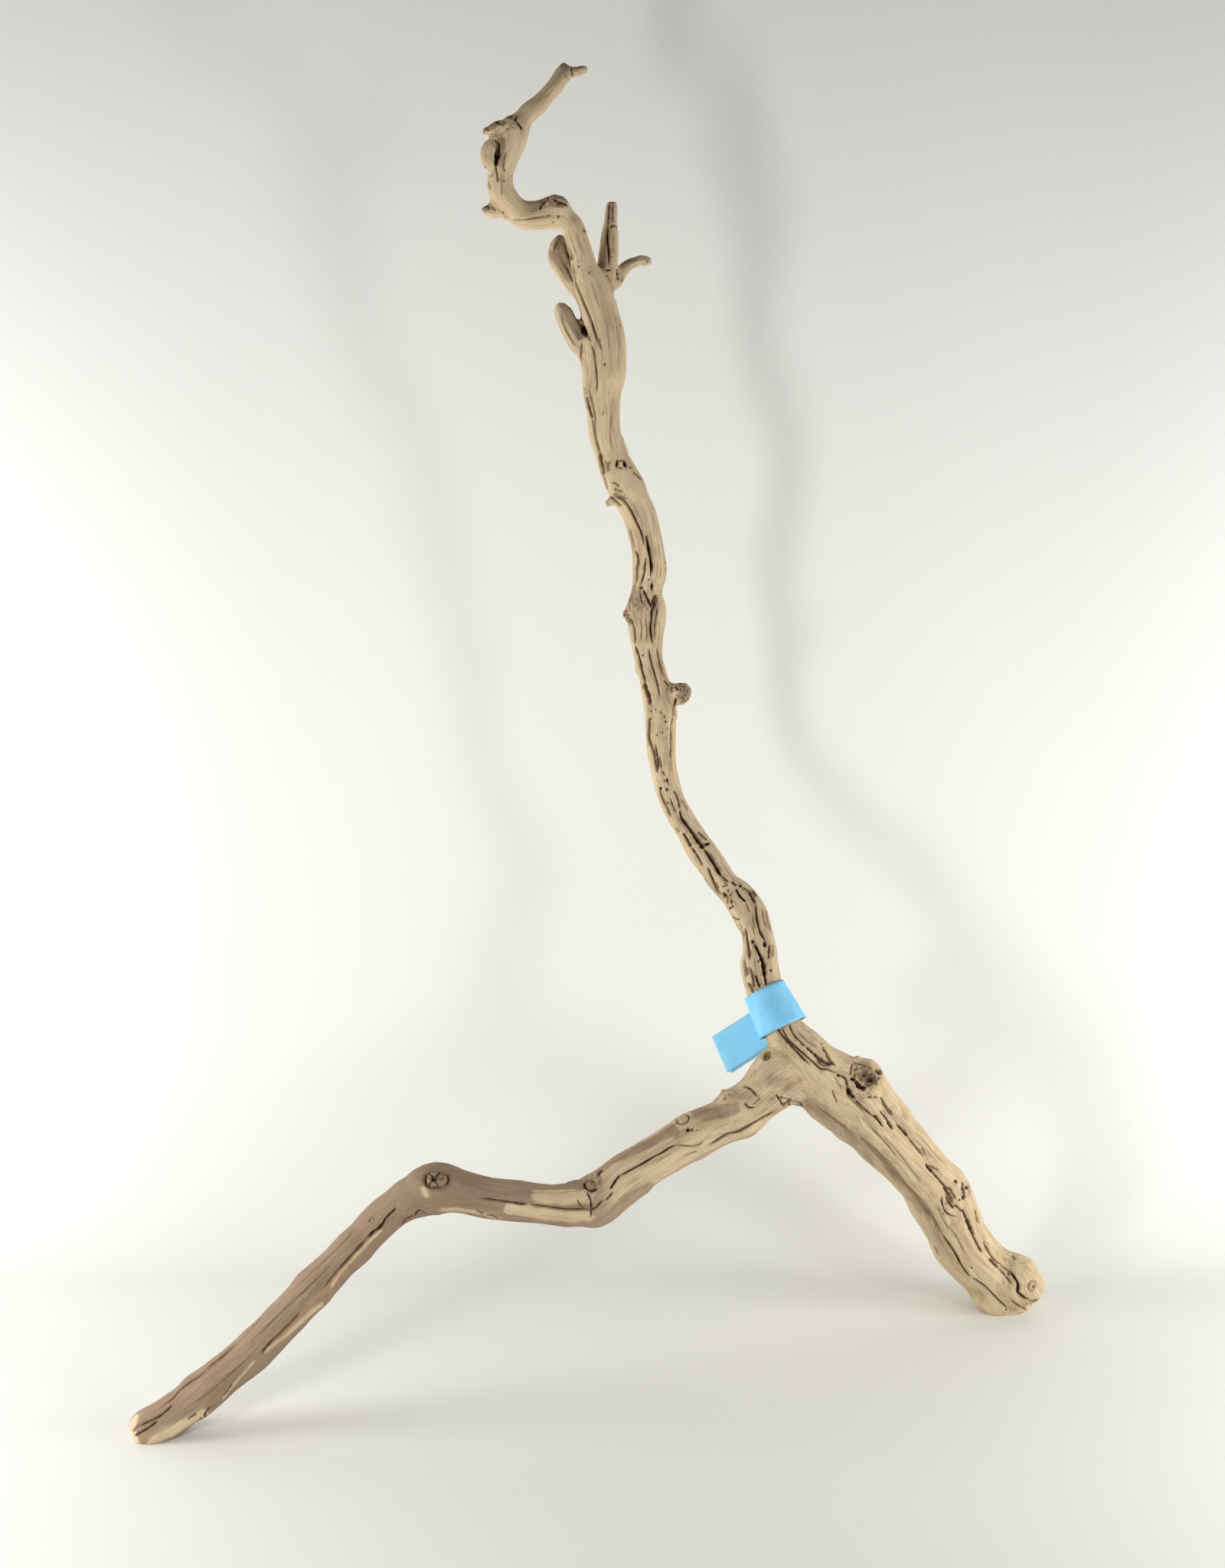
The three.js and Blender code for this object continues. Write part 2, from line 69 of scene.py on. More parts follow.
# ------------------------------------------------------------------------------- the limbs
# Stations of each limb: x, y, z of the centre, half width across the view, depth / width.
LIMBS = {
    "trunk": [
        (324.8, 114.0, -23.1, 14.63, 1.20), (316.7, 108.0, -4.4, 19.41, 1.17), (308.0, 102.0, 14.2, 22.34, 1.15), (298.9, 96.6, 30.4, 22.25, 1.12),
        (286.4, 91.1, 44.7, 22.64, 1.09), (276.3, 86.0, 59.3, 22.97, 1.06), (268.7, 80.7, 75.7, 22.69, 1.03), (262.2, 75.4, 92.8, 24.25, 1.00),
        (254.7, 70.0, 108.4, 25.21, 0.98), (244.8, 64.1, 122.9, 22.58, 0.96), (233.8, 57.7, 136.9, 22.89, 0.93), (223.5, 51.3, 150.8, 23.84, 0.91),
        (212.7, 45.0, 163.9, 24.43, 0.89), (202.6, 39.1, 177.4, 25.65, 0.87), (192.7, 34.0, 189.9, 28.14, 0.86), (182.8, 28.8, 202.3, 29.75, 0.85),
        (168.4, 22.4, 213.3, 27.63, 0.84), (154.1, 16.5, 227.6, 23.82, 0.90), (142.8, 14.0, 244.2, 20.07, 0.97), (132.7, 17.4, 257.3, 15.55, 0.99),
        (124.7, 25.2, 270.2, 14.16, 1.00), (119.2, 32.0, 280.9, 13.79, 1.00), (116.0, 37.4, 289.2, 14.10, 0.99), (114.2, 43.2, 296.9, 14.23, 0.98),
        (113.8, 47.6, 302.6, 13.91, 0.97), (114.5, 52.0, 308.3, 12.44, 0.95), (113.5, 56.2, 314.1, 12.00, 0.94), (112.4, 60.0, 320.1, 11.61, 0.93),
        (110.8, 63.2, 325.7, 11.91, 0.92), (108.0, 66.8, 331.7, 13.06, 0.92), (105.2, 69.7, 336.8, 13.19, 0.93), (101.4, 72.9, 342.4, 12.80, 0.94),
        (97.6, 75.5, 347.0, 11.94, 0.96), (92.2, 78.0, 351.1, 10.69, 0.99), (87.6, 80.2, 355.8, 10.23, 1.02), (79.6, 84.5, 366.5, 10.35, 1.05),
        (71.6, 88.2, 376.8, 10.82, 1.07), (64.1, 91.4, 387.8, 10.07, 1.08), (56.7, 94.0, 399.7, 9.32, 1.09), (50.3, 96.1, 411.6, 9.20, 1.10),
        (45.7, 98.0, 424.8, 9.54, 1.10), (42.8, 99.4, 438.1, 9.82, 1.10), (41.0, 100.0, 452.2, 10.66, 1.09), (40.3, 99.7, 466.4, 11.21, 1.08),
        (40.3, 99.2, 477.1, 11.43, 1.07), (39.1, 98.5, 487.9, 11.41, 1.06), (36.8, 97.7, 498.0, 11.10, 1.04), (35.0, 96.8, 508.1, 10.57, 1.03),
        (31.5, 95.4, 521.8, 10.55, 1.01), (29.8, 94.0, 536.1, 12.05, 0.98), (29.5, 92.8, 547.3, 13.67, 0.93), (29.1, 91.4, 557.3, 15.22, 0.90),
        (29.1, 90.4, 564.4, 14.86, 0.91), (29.0, 89.4, 571.5, 12.26, 0.92), (29.6, 88.3, 578.6, 11.12, 0.94), (30.7, 87.1, 585.7, 11.89, 0.96),
        (31.2, 85.8, 594.5, 12.43, 0.98), (30.0, 84.0, 606.7, 11.73, 1.00), (27.7, 82.1, 620.0, 11.92, 0.99), (24.3, 80.2, 633.3, 12.34, 0.96),
        (19.8, 78.8, 642.5, 12.48, 0.95), (15.4, 77.4, 651.7, 13.57, 0.94), (10.9, 76.2, 659.7, 13.27, 0.95), (7.6, 75.1, 667.6, 12.59, 0.97),
        (4.3, 74.0, 675.6, 11.74, 0.99), (1.5, 73.0, 683.5, 11.17, 1.02), (-0.6, 71.8, 693.0, 11.81, 1.04), (-1.7, 70.6, 703.1, 11.79, 1.05),
        (-2.8, 69.0, 716.4, 12.48, 1.01), (-3.3, 67.9, 726.4, 14.20, 0.94), (-2.2, 66.9, 736.4, 15.81, 0.88), (-2.0, 66.0, 745.2, 16.33, 0.86),
        (-2.2, 65.2, 753.9, 16.42, 0.86), (-2.2, 64.4, 762.6, 15.74, 0.87), (-2.5, 63.9, 769.2, 14.64, 0.88), (-3.8, 63.2, 777.3, 13.43, 0.89),
        (-6.0, 62.5, 785.4, 13.25, 0.90), (-9.2, 61.7, 795.1, 12.42, 0.93), (-11.9, 60.8, 804.3, 10.78, 0.97), (-15.1, 60.0, 812.9, 9.15, 1.01),
        (-17.2, 59.1, 821.5, 8.33, 1.04), (-19.8, 58.2, 830.5, 8.05, 1.05), (-22.5, 57.4, 838.5, 8.04, 1.04), (-25.7, 56.8, 843.8, 8.03, 1.01),
        (-30.5, 56.1, 847.6, 8.82, 0.99), (-37.4, 55.1, 849.7, 9.89, 0.96), (-45.4, 54.0, 849.3, 10.15, 0.95), (-54.4, 52.1, 849.1, 9.87, 0.96),
        (-60.7, 50.4, 851.1, 9.33, 0.97), (-66.0, 48.4, 855.4, 9.32, 0.98), (-70.1, 46.7, 860.2, 9.57, 0.99), (-72.7, 45.1, 866.1, 8.92, 1.00),
        (-73.6, 44.0, 872.4, 9.01, 1.00), (-73.0, 43.1, 878.7, 8.73, 0.99), (-70.0, 42.0, 886.0, 8.19, 0.96), (-67.0, 41.1, 893.2, 8.18, 0.93),
        (-64.2, 40.5, 899.5, 8.70, 0.91), (-63.1, 40.1, 905.1, 9.48, 0.90), (-60.4, 40.0, 910.8, 8.95, 0.91), (-56.7, 40.2, 915.9, 6.84, 0.95),
        (-52.0, 40.8, 920.5, 6.63, 1.00), (-46.7, 41.8, 924.3, 6.42, 1.05), (-42.5, 43.1, 928.9, 5.68, 1.09), (-38.3, 44.6, 933.5, 5.42, 1.10),
        (-34.1, 46.5, 938.0, 5.68, 1.09), (-30.7, 48.5, 942.8, 6.32, 1.06), (-29.4, 50.5, 947.9, 6.06, 1.03), (-29.4, 52.0, 951.5, 3.95, 1.00),
        (-29.6, 52.0, 953.8, 1.84, 1.00),
    ],
    "left_leg": [
        (146.4, 22.0, 230.4, 25.58, 0.90), (129.9, 10.1, 227.1, 23.76, 0.91), (119.4, 2.3, 221.0, 20.31, 0.92), (112.5, -2.0, 216.0, 18.31, 0.93),
        (107.3, -4.7, 212.3, 17.90, 0.93), (102.2, -7.0, 208.4, 18.73, 0.94), (96.5, -9.2, 205.0, 19.68, 0.95), (90.8, -11.1, 202.2, 17.98, 0.96),
        (84.6, -13.0, 199.3, 16.29, 0.97), (72.2, -16.8, 195.4, 16.60, 0.99), (63.1, -20.0, 191.9, 17.59, 1.00), (54.1, -23.8, 188.1, 16.34, 1.00),
        (42.8, -29.1, 182.5, 15.75, 0.98), (31.1, -34.9, 177.0, 15.89, 0.96), (19.9, -40.4, 171.6, 17.03, 0.94), (11.0, -44.6, 166.8, 17.95, 0.93),
        (3.7, -48.0, 161.6, 18.21, 0.92), (-3.5, -51.1, 157.0, 18.75, 0.92), (-11.2, -53.9, 154.0, 18.57, 0.93), (-20.1, -56.8, 153.5, 16.22, 0.96),
        (-30.0, -59.9, 154.2, 15.59, 1.00), (-39.8, -62.9, 155.5, 14.35, 1.04), (-49.7, -65.7, 157.6, 14.16, 1.05),
        (-66.0, -70.0, 161.5, 14.57, 1.03), (-82.3, -74.2, 165.7, 14.58, 0.99), (-98.0, -78.1, 170.8, 14.77, 0.94),
        (-106.1, -79.8, 173.3, 15.30, 0.92), (-113.6, -81.1, 175.3, 17.47, 0.90), (-121.2, -82.0, 176.0, 18.71, 0.90),
        (-128.3, -82.7, 174.6, 18.27, 0.92), (-134.8, -83.2, 171.3, 16.09, 0.98), (-141.9, -83.7, 167.9, 14.73, 1.04),
        (-150.2, -84.2, 162.3, 13.27, 1.08), (-157.9, -84.7, 156.0, 13.66, 1.08), (-165.1, -85.2, 149.5, 13.66, 1.08),
        (-172.3, -86.0, 141.9, 13.07, 1.08), (-181.7, -87.3, 132.4, 14.01, 1.08), (-191.1, -89.0, 123.1, 13.30, 1.07),
        (-200.5, -90.9, 113.3, 13.96, 1.07), (-209.8, -92.9, 104.1, 15.06, 1.07), (-218.6, -95.0, 94.9, 14.02, 1.07),
        (-228.0, -97.2, 85.2, 13.97, 1.06), (-241.8, -100.2, 71.2, 14.31, 1.06), (-251.2, -102.0, 61.9, 14.80, 1.06),
        (-261.1, -103.7, 53.1, 14.26, 1.06), (-276.6, -106.1, 40.5, 14.27, 1.07), (-292.1, -108.4, 27.8, 15.37, 1.08),
        (-302.7, -109.8, 20.1, 14.39, 1.09), (-313.7, -111.3, 12.4, 15.11, 1.10), (-322.6, -112.4, 6.9, 15.38, 1.11),
        (-330.9, -113.4, 2.0, 14.84, 1.11), (-336.4, -114.0, -1.3, 12.09, 1.12),
    ],
    "foot_knob": [
        (298.3, 94.0, 38.8, 14.40, 0.95), (311.2, 90.3, 32.7, 17.99, 0.95), (320.7, 87.6, 27.4, 19.77, 0.95), (328.9, 85.2, 22.7, 16.77, 0.95),
        (335.9, 83.2, 19.1, 11.37, 0.95), (340.0, 82.0, 17.0, 5.39, 0.95),
    ],
    "elbow_knot": [
        (-44.8, 52.0, 852.0, 7.47, 0.95), (-39.4, 52.7, 854.6, 9.07, 0.95), (-33.6, 53.3, 854.3, 9.34, 0.95), (-28.3, 54.0, 851.4, 8.01, 0.95),
    ],
    "leaf_stub": [
        (-10.8, 63.0, 789.7, 8.11, 0.80), (-19.0, 65.7, 796.9, 7.57, 0.76), (-24.9, 68.0, 803.7, 7.03, 0.72), (-29.8, 70.3, 811.5, 7.84, 0.69),
        (-33.0, 72.1, 818.3, 8.93, 0.66), (-33.3, 73.6, 824.6, 7.84, 0.64), (-32.5, 75.2, 830.8, 5.68, 0.61), (-31.9, 76.0, 834.2, 2.70, 0.60),
    ],
    "low_stub": [
        (-8.8, 65.0, 743.1, 8.71, 0.85), (-14.2, 64.3, 751.8, 7.61, 0.80), (-21.2, 63.0, 762.8, 7.87, 0.75), (-26.6, 61.4, 772.1, 7.31, 0.70),
        (-29.7, 59.9, 779.8, 6.76, 0.66), (-31.6, 58.7, 785.3, 5.13, 0.63), (-31.3, 58.0, 788.3, 2.70, 0.62),
    ],
    "twig_up": [
        (-8.7, 64.0, 786.4, 8.66, 0.95), (-2.2, 68.4, 797.7, 7.58, 0.95), (-0.0, 72.0, 808.7, 7.04, 0.95), (1.3, 76.0, 821.7, 6.88, 0.95),
        (2.4, 79.7, 834.2, 6.23, 0.95), (2.7, 81.1, 838.9, 5.04, 0.95), (3.2, 83.6, 847.8, 4.55, 0.95), (3.8, 85.4, 854.6, 4.23, 0.95),
        (3.8, 86.0, 856.7, 3.25, 0.95),
    ],
    "twig_side": [
        (1.1, 70.0, 798.1, 7.04, 0.90), (6.5, 75.6, 802.4, 5.70, 0.88), (10.8, 82.0, 807.8, 4.73, 0.86), (15.2, 87.7, 811.6, 4.31, 0.85),
        (21.3, 94.4, 813.8, 4.05, 0.83), (26.2, 99.7, 814.1, 4.17, 0.81), (29.6, 103.3, 813.8, 3.73, 0.81), (31.8, 106.0, 814.4, 2.20, 0.80),
    ],
    "torn_nub": [
        (-65.2, 39.0, 910.3, 6.84, 0.95), (-73.5, 37.0, 910.4, 4.73, 0.95), (-79.2, 34.0, 907.9, 3.41, 0.95), (-82.7, 31.2, 907.0, 2.36, 0.95),
        (-84.0, 30.0, 906.7, 1.31, 0.95),
    ],
    "torn_collar": [
        (-61.0, 39.0, 908.8, 6.84, 0.90), (-65.6, 37.2, 913.5, 6.83, 0.84), (-67.6, 36.0, 917.1, 4.46, 0.80),
    ],
    "flake_stub": [
        (-74.1, 43.0, 875.5, 6.35, 0.80), (-77.1, 39.7, 880.9, 5.55, 0.74), (-80.1, 37.0, 887.2, 6.06, 0.66), (-81.5, 35.5, 893.0, 5.53, 0.60),
        (-79.3, 34.3, 899.2, 4.21, 0.54), (-77.9, 34.0, 902.3, 2.10, 0.50),
    ],
    "elbow_nub": [
        (-71.8, 48.0, 854.4, 7.98, 0.95), (-77.6, 46.3, 852.7, 5.59, 0.95), (-82.9, 44.9, 853.3, 3.46, 0.95), (-86.3, 44.0, 853.9, 2.02, 0.95),
    ],
    "top_fork": [
        (-29.4, 48.0, 944.9, 6.05, 0.95), (-25.7, 49.7, 945.4, 5.26, 0.95), (-22.8, 51.0, 945.7, 4.32, 0.95), (-18.1, 53.2, 946.8, 3.48, 0.95),
        (-14.4, 55.0, 948.1, 2.43, 0.95), (-12.3, 56.0, 948.8, 1.48, 0.95),
    ],
    "bud_nub": [
        (12.6, 76.0, 648.0, 7.75, 0.95), (6.5, 73.0, 645.1, 4.15, 0.95), (2.6, 71.3, 644.3, 3.04, 0.95), (-0.4, 70.0, 644.0, 2.21, 0.95),
    ],
    "knot_nub": [
        (22.3, 91.0, 559.2, 9.02, 0.95), (16.1, 88.1, 558.0, 5.63, 0.95), (13.3, 86.8, 558.3, 4.22, 0.95), (11.6, 86.0, 558.5, 2.81, 0.95),
    ],
    "side_knob": [
        (39.6, 98.0, 496.8, 9.11, 0.90), (48.7, 95.0, 497.5, 7.11, 0.92), (53.8, 93.3, 497.3, 8.53, 0.93), (57.1, 92.1, 496.4, 8.24, 0.94),
        (60.0, 91.0, 494.9, 5.68, 0.95),
    ],
    "crotch_nub": [
        (95.3, -9.0, 215.2, 8.98, 0.95), (88.9, -13.8, 220.6, 4.48, 0.95), (85.4, -16.5, 224.0, 3.07, 0.95), (83.6, -18.0, 226.1, 2.23, 0.95),
    ],
    "fork_knot": [
        (178.2, 28.0, 201.4, 17.16, 0.95), (190.1, 23.6, 216.4, 17.09, 0.95), (197.1, 21.4, 222.7, 15.36, 0.95), (202.0, 20.0, 226.3, 9.66, 0.95),
    ],
    "flake_root": [
        (-68.8, 46.0, 889.4, 5.29, 0.95), (-72.3, 44.8, 896.2, 4.76, 0.95), (-74.4, 43.8, 901.9, 4.22, 0.95), (-73.8, 43.0, 907.1, 4.22, 0.95),
    ],
    "crotch_fill": [
        (128.7, 6.0, 212.3, 7.35, 0.95), (141.0, 11.8, 209.5, 7.37, 0.95), (153.5, 18.0, 202.8, 7.97, 0.95),
    ],
    "rim_nub": [
        (184.0, 23.0, 228.8, 5.12, 0.95), (185.5, 21.8, 235.3, 3.41, 0.95), (186.5, 21.0, 239.5, 1.70, 0.95),
    ],
}

ROUND = {"trunk": 72, "left_leg": 64}


def hermite(rows, step):
    """Smooth stations about every step mm along a limb."""
    p = np.array(rows, float)
    d = np.r_[0, np.cumsum(np.sqrt(np.linalg.norm(np.diff(p[:, :3], axis=0), axis=1)))]  # centripetal
    h = np.diff(d)[:, None]
    slope = np.diff(p, axis=0) / h
    m = np.empty_like(p)
    m[1:-1] = (slope[:-1] * h[1:] + slope[1:] * h[:-1]) / (h[:-1] + h[1:])
    m[0], m[-1] = slope[0], slope[-1]
    out = []
    for i in range(len(p) - 1):
        n = max(2, int(np.ceil(np.linalg.norm(p[i + 1, :3] - p[i, :3]) / step)))
        t = (np.arange(n) / n)[:, None]
        hh = h[i]
        out.append((2 * t**3 - 3 * t**2 + 1) * p[i] + (t**3 - 2 * t**2 + t) * hh * m[i] + (-2 * t**3 + 3 * t**2) * p[i + 1] + (t**3 - t**2) * hh * m[i + 1])
    out.append(p[-1:])
    return np.concatenate(out)


def unit(v):
    return v / np.maximum(np.linalg.norm(v, axis=-1, keepdims=True), 1e-12)


class Limb:
    """A limb's fine centreline with its axes: along, side (across the view) and front (to the viewer)."""

    def __init__(self, name, rows):
        q = hermite(rows, 1.0)
        self.name = name
        self.c, self.w, self.e = q[:, :3], np.maximum(q[:, 3], 1.0), q[:, 4]
        self.along = unit(np.gradient(self.c, axis=0))
        for _ in range(4):  # ease the axes round sharp bends
            self.along[1:-1] = unit(self.along[:-2] + 2 * self.along[1:-1] + self.along[2:])
        self.side = unit(np.cross(self.along, AHEAD))
        self.front = unit(np.cross(self.side, self.along))
        self.s = np.r_[0, np.cumsum(np.linalg.norm(np.diff(self.c, axis=0), axis=1))]

    def local(self, p):
        """For points: nearest station, distance along, cross position (mm) and distance from the limb's skin."""
        near = np.empty(len(p), int)
        spine = self.c[::3].astype(np.float32)
        reach = (spine**2).sum(1)
        for a in range(0, len(p), 4000):
            near[a : a + 4000] = np.argmin(reach - 2 * (p[a : a + 4000].astype(np.float32) @ spine.T), axis=1) * 3
        step = ((p - self.c[near]) * self.along[near]).sum(1)
        near = np.clip(near + np.clip(np.rint(step), -2, 2).astype(int), 0, len(self.c) - 1)
        d = p - self.c[near]
        x, y, t = (d * self.side[near]).sum(1), (d * self.front[near]).sum(1), (d * self.along[near]).sum(1)
        rho = np.hypot(x / self.w[near], y / (self.w[near] * self.e[near]))
        past = np.where((near == 0) & (t < 0) | (near == len(self.c) - 1) & (t > 0), np.abs(t), 0.0)
        gap = np.hypot(np.maximum((rho - 1) * self.w[near], 0), past) + np.minimum((rho - 1) * self.w[near], 0)
        return near, self.s[near] + t, x, y, gap


limbs = {n: Limb(n, rows) for n, rows in LIMBS.items()}


def wave(s, waves, seed):
    """A smooth wandering curve along a limb."""
    r = np.random.default_rng(seed)
    return sum(np.sin(2 * np.pi * s / w + r.uniform(0, 6.28)) * r.uniform(0.6, 1.0) for w in waves) / len(waves)


def loft(limb, number, sides):
    """Rings with slow flutes that turn along the limb, closed at both ends."""
    keep = np.unique(np.r_[np.arange(0, len(limb.c), 2), len(limb.c) - 1])
    c, w, e, side, front, s = (a[keep] for a in (limb.c, limb.w, limb.e, limb.side, limb.front, limb.s))
    a = 2 * np.pi * np.arange(sides) / sides
    swell = np.ones((len(keep), sides))
    for k, amp in ((2, 0.020), (3, 0.030), (4, 0.022), (5, 0.018), (7, 0.012)):
        turn = 1.4 * wave(s, (310, 170, 90), number * 31 + k) + s * 0.006
        grow = 0.6 + 0.5 * wave(s, (140, 75, 40), number * 57 + k)
        swell += amp * grow[:, None] * np.cos(k * a[None] + turn[:, None] * k)
    rings = c[:, None] + (w[:, None] * swell * np.cos(a))[..., None] * side[:, None] + ((w * e)[:, None] * swell * np.sin(a))[..., None] * front[:, None]
    n = len(keep)
    v = np.concatenate([rings.reshape(-1, 3), c[:1], c[-1:]])
    i, k = np.meshgrid(np.arange(n - 1), np.arange(sides), indexing="ij")
    j = (k + 1) % sides
    quads = np.stack([i * sides + k, i * sides + j, (i + 1) * sides + j, (i + 1) * sides + k], -1).reshape(-1, 4)
    k = np.arange(sides)
    j = (k + 1) % sides
    tris = np.concatenate([np.stack([np.full(sides, n * sides), j, k], -1), np.stack([np.full(sides, n * sides + 1), (n - 1) * sides + k, (n - 1) * sides + j], -1)])
    return v, [tuple(q) for q in quads.tolist()] + [tuple(t) for t in tris.tolist()]


def fused(step):
    """All limbs as one skin, in mm: vertices and triangles."""
    verts, faces, base = [], [], 0
    for number, limb in enumerate(limbs.values()):
        v, f = loft(limb, number, ROUND.get(limb.name, 36))
        verts.append(v)
        faces += [tuple(i + base for i in q) for q in f]
        base += len(v)
    me = bpy.data.meshes.new("limbs")
    me.from_pydata((np.concatenate(verts) * 1e-3).tolist(), [], faces)
    ob = bpy.data.objects.new("limbs", me)
    bpy.context.scene.collection.objects.link(ob)
    mod = ob.modifiers.new("fuse", "REMESH")
    mod.mode, mod.voxel_size, mod.adaptivity = "VOXEL", step * 1e-3, 0.0
    out = bpy.data.meshes.new_from_object(ob.evaluated_get(bpy.context.evaluated_depsgraph_get()))
    bpy.data.objects.remove(ob)
    v = np.empty(len(out.vertices) * 3, np.float32)
    out.vertices.foreach_get("co", v)
    out.calc_loop_triangles()
    t = np.empty(len(out.loop_triangles) * 3, np.int32)
    out.loop_triangles.foreach_get("vertices", t)
    bpy.data.meshes.remove(out)
    bpy.data.meshes.remove(me)
    return v.reshape(-1, 3).astype(float) * 1e3, t.reshape(-1, 3).astype(np.int64)


def edges_of(t):
    e = np.sort(np.concatenate([t[:, [0, 1]], t[:, [1, 2]], t[:, [2, 0]]]), axis=1)
    key, inverse = np.unique(e[:, 0] * (1 << 32) + e[:, 1], return_inverse=True)
    return np.stack([key >> 32, key & 0xFFFFFFFF], -1), inverse.reshape(3, -1).T


def largest_piece(v, t):
    """Drops any small scrap that isn't joined to the main skin."""
    label = np.arange(len(v))
    e, _ = edges_of(t)
    while True:
        low = np.minimum(label[e[:, 0]], label[e[:, 1]])
        new = label.copy()
        np.minimum.at(new, e[:, 0], low)
        np.minimum.at(new, e[:, 1], low)
        new = new[new]
        if (new == label).all():
            break
        label = new
    main = np.bincount(label).argmax()
    keep = label == main
    index = np.cumsum(keep) - 1
    return v[keep], index[t[keep[t[:, 0]]]]


def sawn_off(v, t):
    """Cuts the skin off flat at floor level and closes the cuts."""
    cut = bpy.data.meshes.new("cut")
    cut.from_pydata(v.tolist(), [], t.tolist())
    bm = bmesh.new()
    bm.from_mesh(cut)
    bmesh.ops.bisect_plane(bm, geom=bm.verts[:] + bm.edges[:] + bm.faces[:], dist=1e-3, plane_co=(0, 0, 0), plane_no=(0, 0, -1), clear_outer=True)
    bmesh.ops.holes_fill(bm, edges=[e for e in bm.edges if e.is_boundary], sides=0)
    bmesh.ops.triangulate(bm, faces=[f for f in bm.faces if len(f.verts) > 3])
    bm.verts.index_update()
    v = np.array([x.co for x in bm.verts], float)
    t = np.array([[x.index for x in f.verts] for f in bm.faces], np.int64)
    bm.free()
    bpy.data.meshes.remove(cut)
    v[np.abs(v[:, 2]) < 2e-3, 2] = 0.0
    return v, t


def smooth(v, t, weight, rounds, rate=0.5, back=0.0):
    """Moves each vertex towards its neighbours' mean by weight * rate, then back out a little."""
    e, _ = edges_of(t)
    n = np.bincount(e.ravel(), minlength=len(v)).astype(float)
    for _ in range(rounds):
        for r in (rate, -back) if back else (rate,):
            total = np.stack([np.bincount(e[:, 0], v[e[:, 1], k], len(v)) + np.bincount(e[:, 1], v[e[:, 0], k], len(v)) for k in range(3)], -1)
            v = v + (total / n[:, None] - v) * (weight * r)[:, None]
    return v


def normals_of(v, t):
    f = np.cross(v[t[:, 1]] - v[t[:, 0]], v[t[:, 2]] - v[t[:, 0]])
    return unit(np.stack([sum(np.bincount(t[:, c], f[:, k], len(v)) for c in range(3)) for k in range(3)], -1))


def lean(v, t, count):
    """The skin with about count triangles, dropping those that add least to its shape."""
    m = bpy.data.meshes.new("lean")
    m.from_pydata(v.tolist(), [], t.tolist())
    o = bpy.data.objects.new("lean", m)
    bpy.context.scene.collection.objects.link(o)
    o.modifiers.new("lean", "DECIMATE").ratio = min(count / len(t), 1.0)
    shape = bpy.context.evaluated_depsgraph_get()
    r = bpy.data.meshes.new_from_object(o.evaluated_get(shape), depsgraph=shape)
    r.calc_loop_triangles()
    v, t = np.zeros(len(r.vertices) * 3), np.zeros(len(r.loop_triangles) * 3, np.int32)
    r.vertices.foreach_get("co", v)
    r.loop_triangles.foreach_get("vertices", t)
    bpy.data.objects.remove(o)
    bpy.data.meshes.remove(m)
    bpy.data.meshes.remove(r)
    return v.reshape(-1, 3), t.reshape(-1, 3).astype(np.int64)


def refine(v, n, t, near_of, wish_of):
    """Splits edges longer than wished for at their distance from the carving, keeping the skin closed and round."""
    near, front = near_of(v, n)
    for _ in range(10):
        e, of = edges_of(t)
        i, j = e[:, 0], e[:, 1]
        length = np.linalg.norm(v[i] - v[j], axis=1)
        low, high = np.minimum(near[i], near[j]), np.maximum(near[i], near[j])
        least = np.where(high - low > length, low, high - 0.4 * length)
        cut = length > 1.42 * wish_of(np.maximum(least, 0), front[i] | front[j])
        if not cut.any():
            break
        for _ in range(8):  # a cut triangle is cut across its longest side too
            tl = length[of]
            longest = of[np.arange(len(t)), tl.argmax(1)]
            need = cut[of].any(1) & ~cut[longest]
            if not need.any():
                break
            cut[longest[need]] = True
        mid = np.full(len(e), -1)
        mid[cut] = len(v) + np.arange(cut.sum())
        i, j = i[cut], j[cut]
        p = (v[i] + v[j]) / 2
        swell = ((p - v[i]) * n[i]).sum(1)[:, None] * n[i] + ((p - v[j]) * n[j]).sum(1)[:, None] * n[j]
        p = p - 0.35 * swell * free(p)[:, None]
        q = unit(n[i] + n[j])
        near_new, front_new = near_of(p, q)
        v, n, near, front = np.concatenate([v, p]), np.concatenate([n, q]), np.r_[near, near_new], np.r_[front, front_new]
        m = mid[of]
        count = (m >= 0).sum(1)
        made = [t[count == 0]]
        for which in range(3):  # turn so that the pattern starts at the same corner
            r = [which, (which + 1) % 3, (which + 2) % 3]
            a, b, c = t[:, r[0]], t[:, r[1]], t[:, r[2]]
            ab, bc, ca = m[:, r[0]], m[:, r[1]], m[:, r[2]]
            one = (count == 1) & (ab >= 0)
            made += [np.stack([a, ab, c], -1)[one], np.stack([ab, b, c], -1)[one]]
            two = (count == 2) & (ca < 0)
            made += [np.stack([ab, b, bc], -1)[two], np.stack([a, ab, bc], -1)[two], np.stack([a, bc, c], -1)[two]]
        three = count == 3
        a, b, c, (ab, bc, ca) = t[three, 0], t[three, 1], t[three, 2], m[three].T
        made += [np.stack(x, -1) for x in ((a, ab, ca), (ab, b, bc), (ca, bc, c), (ab, bc, ca))]
        t = np.concatenate(made)
    return v, t


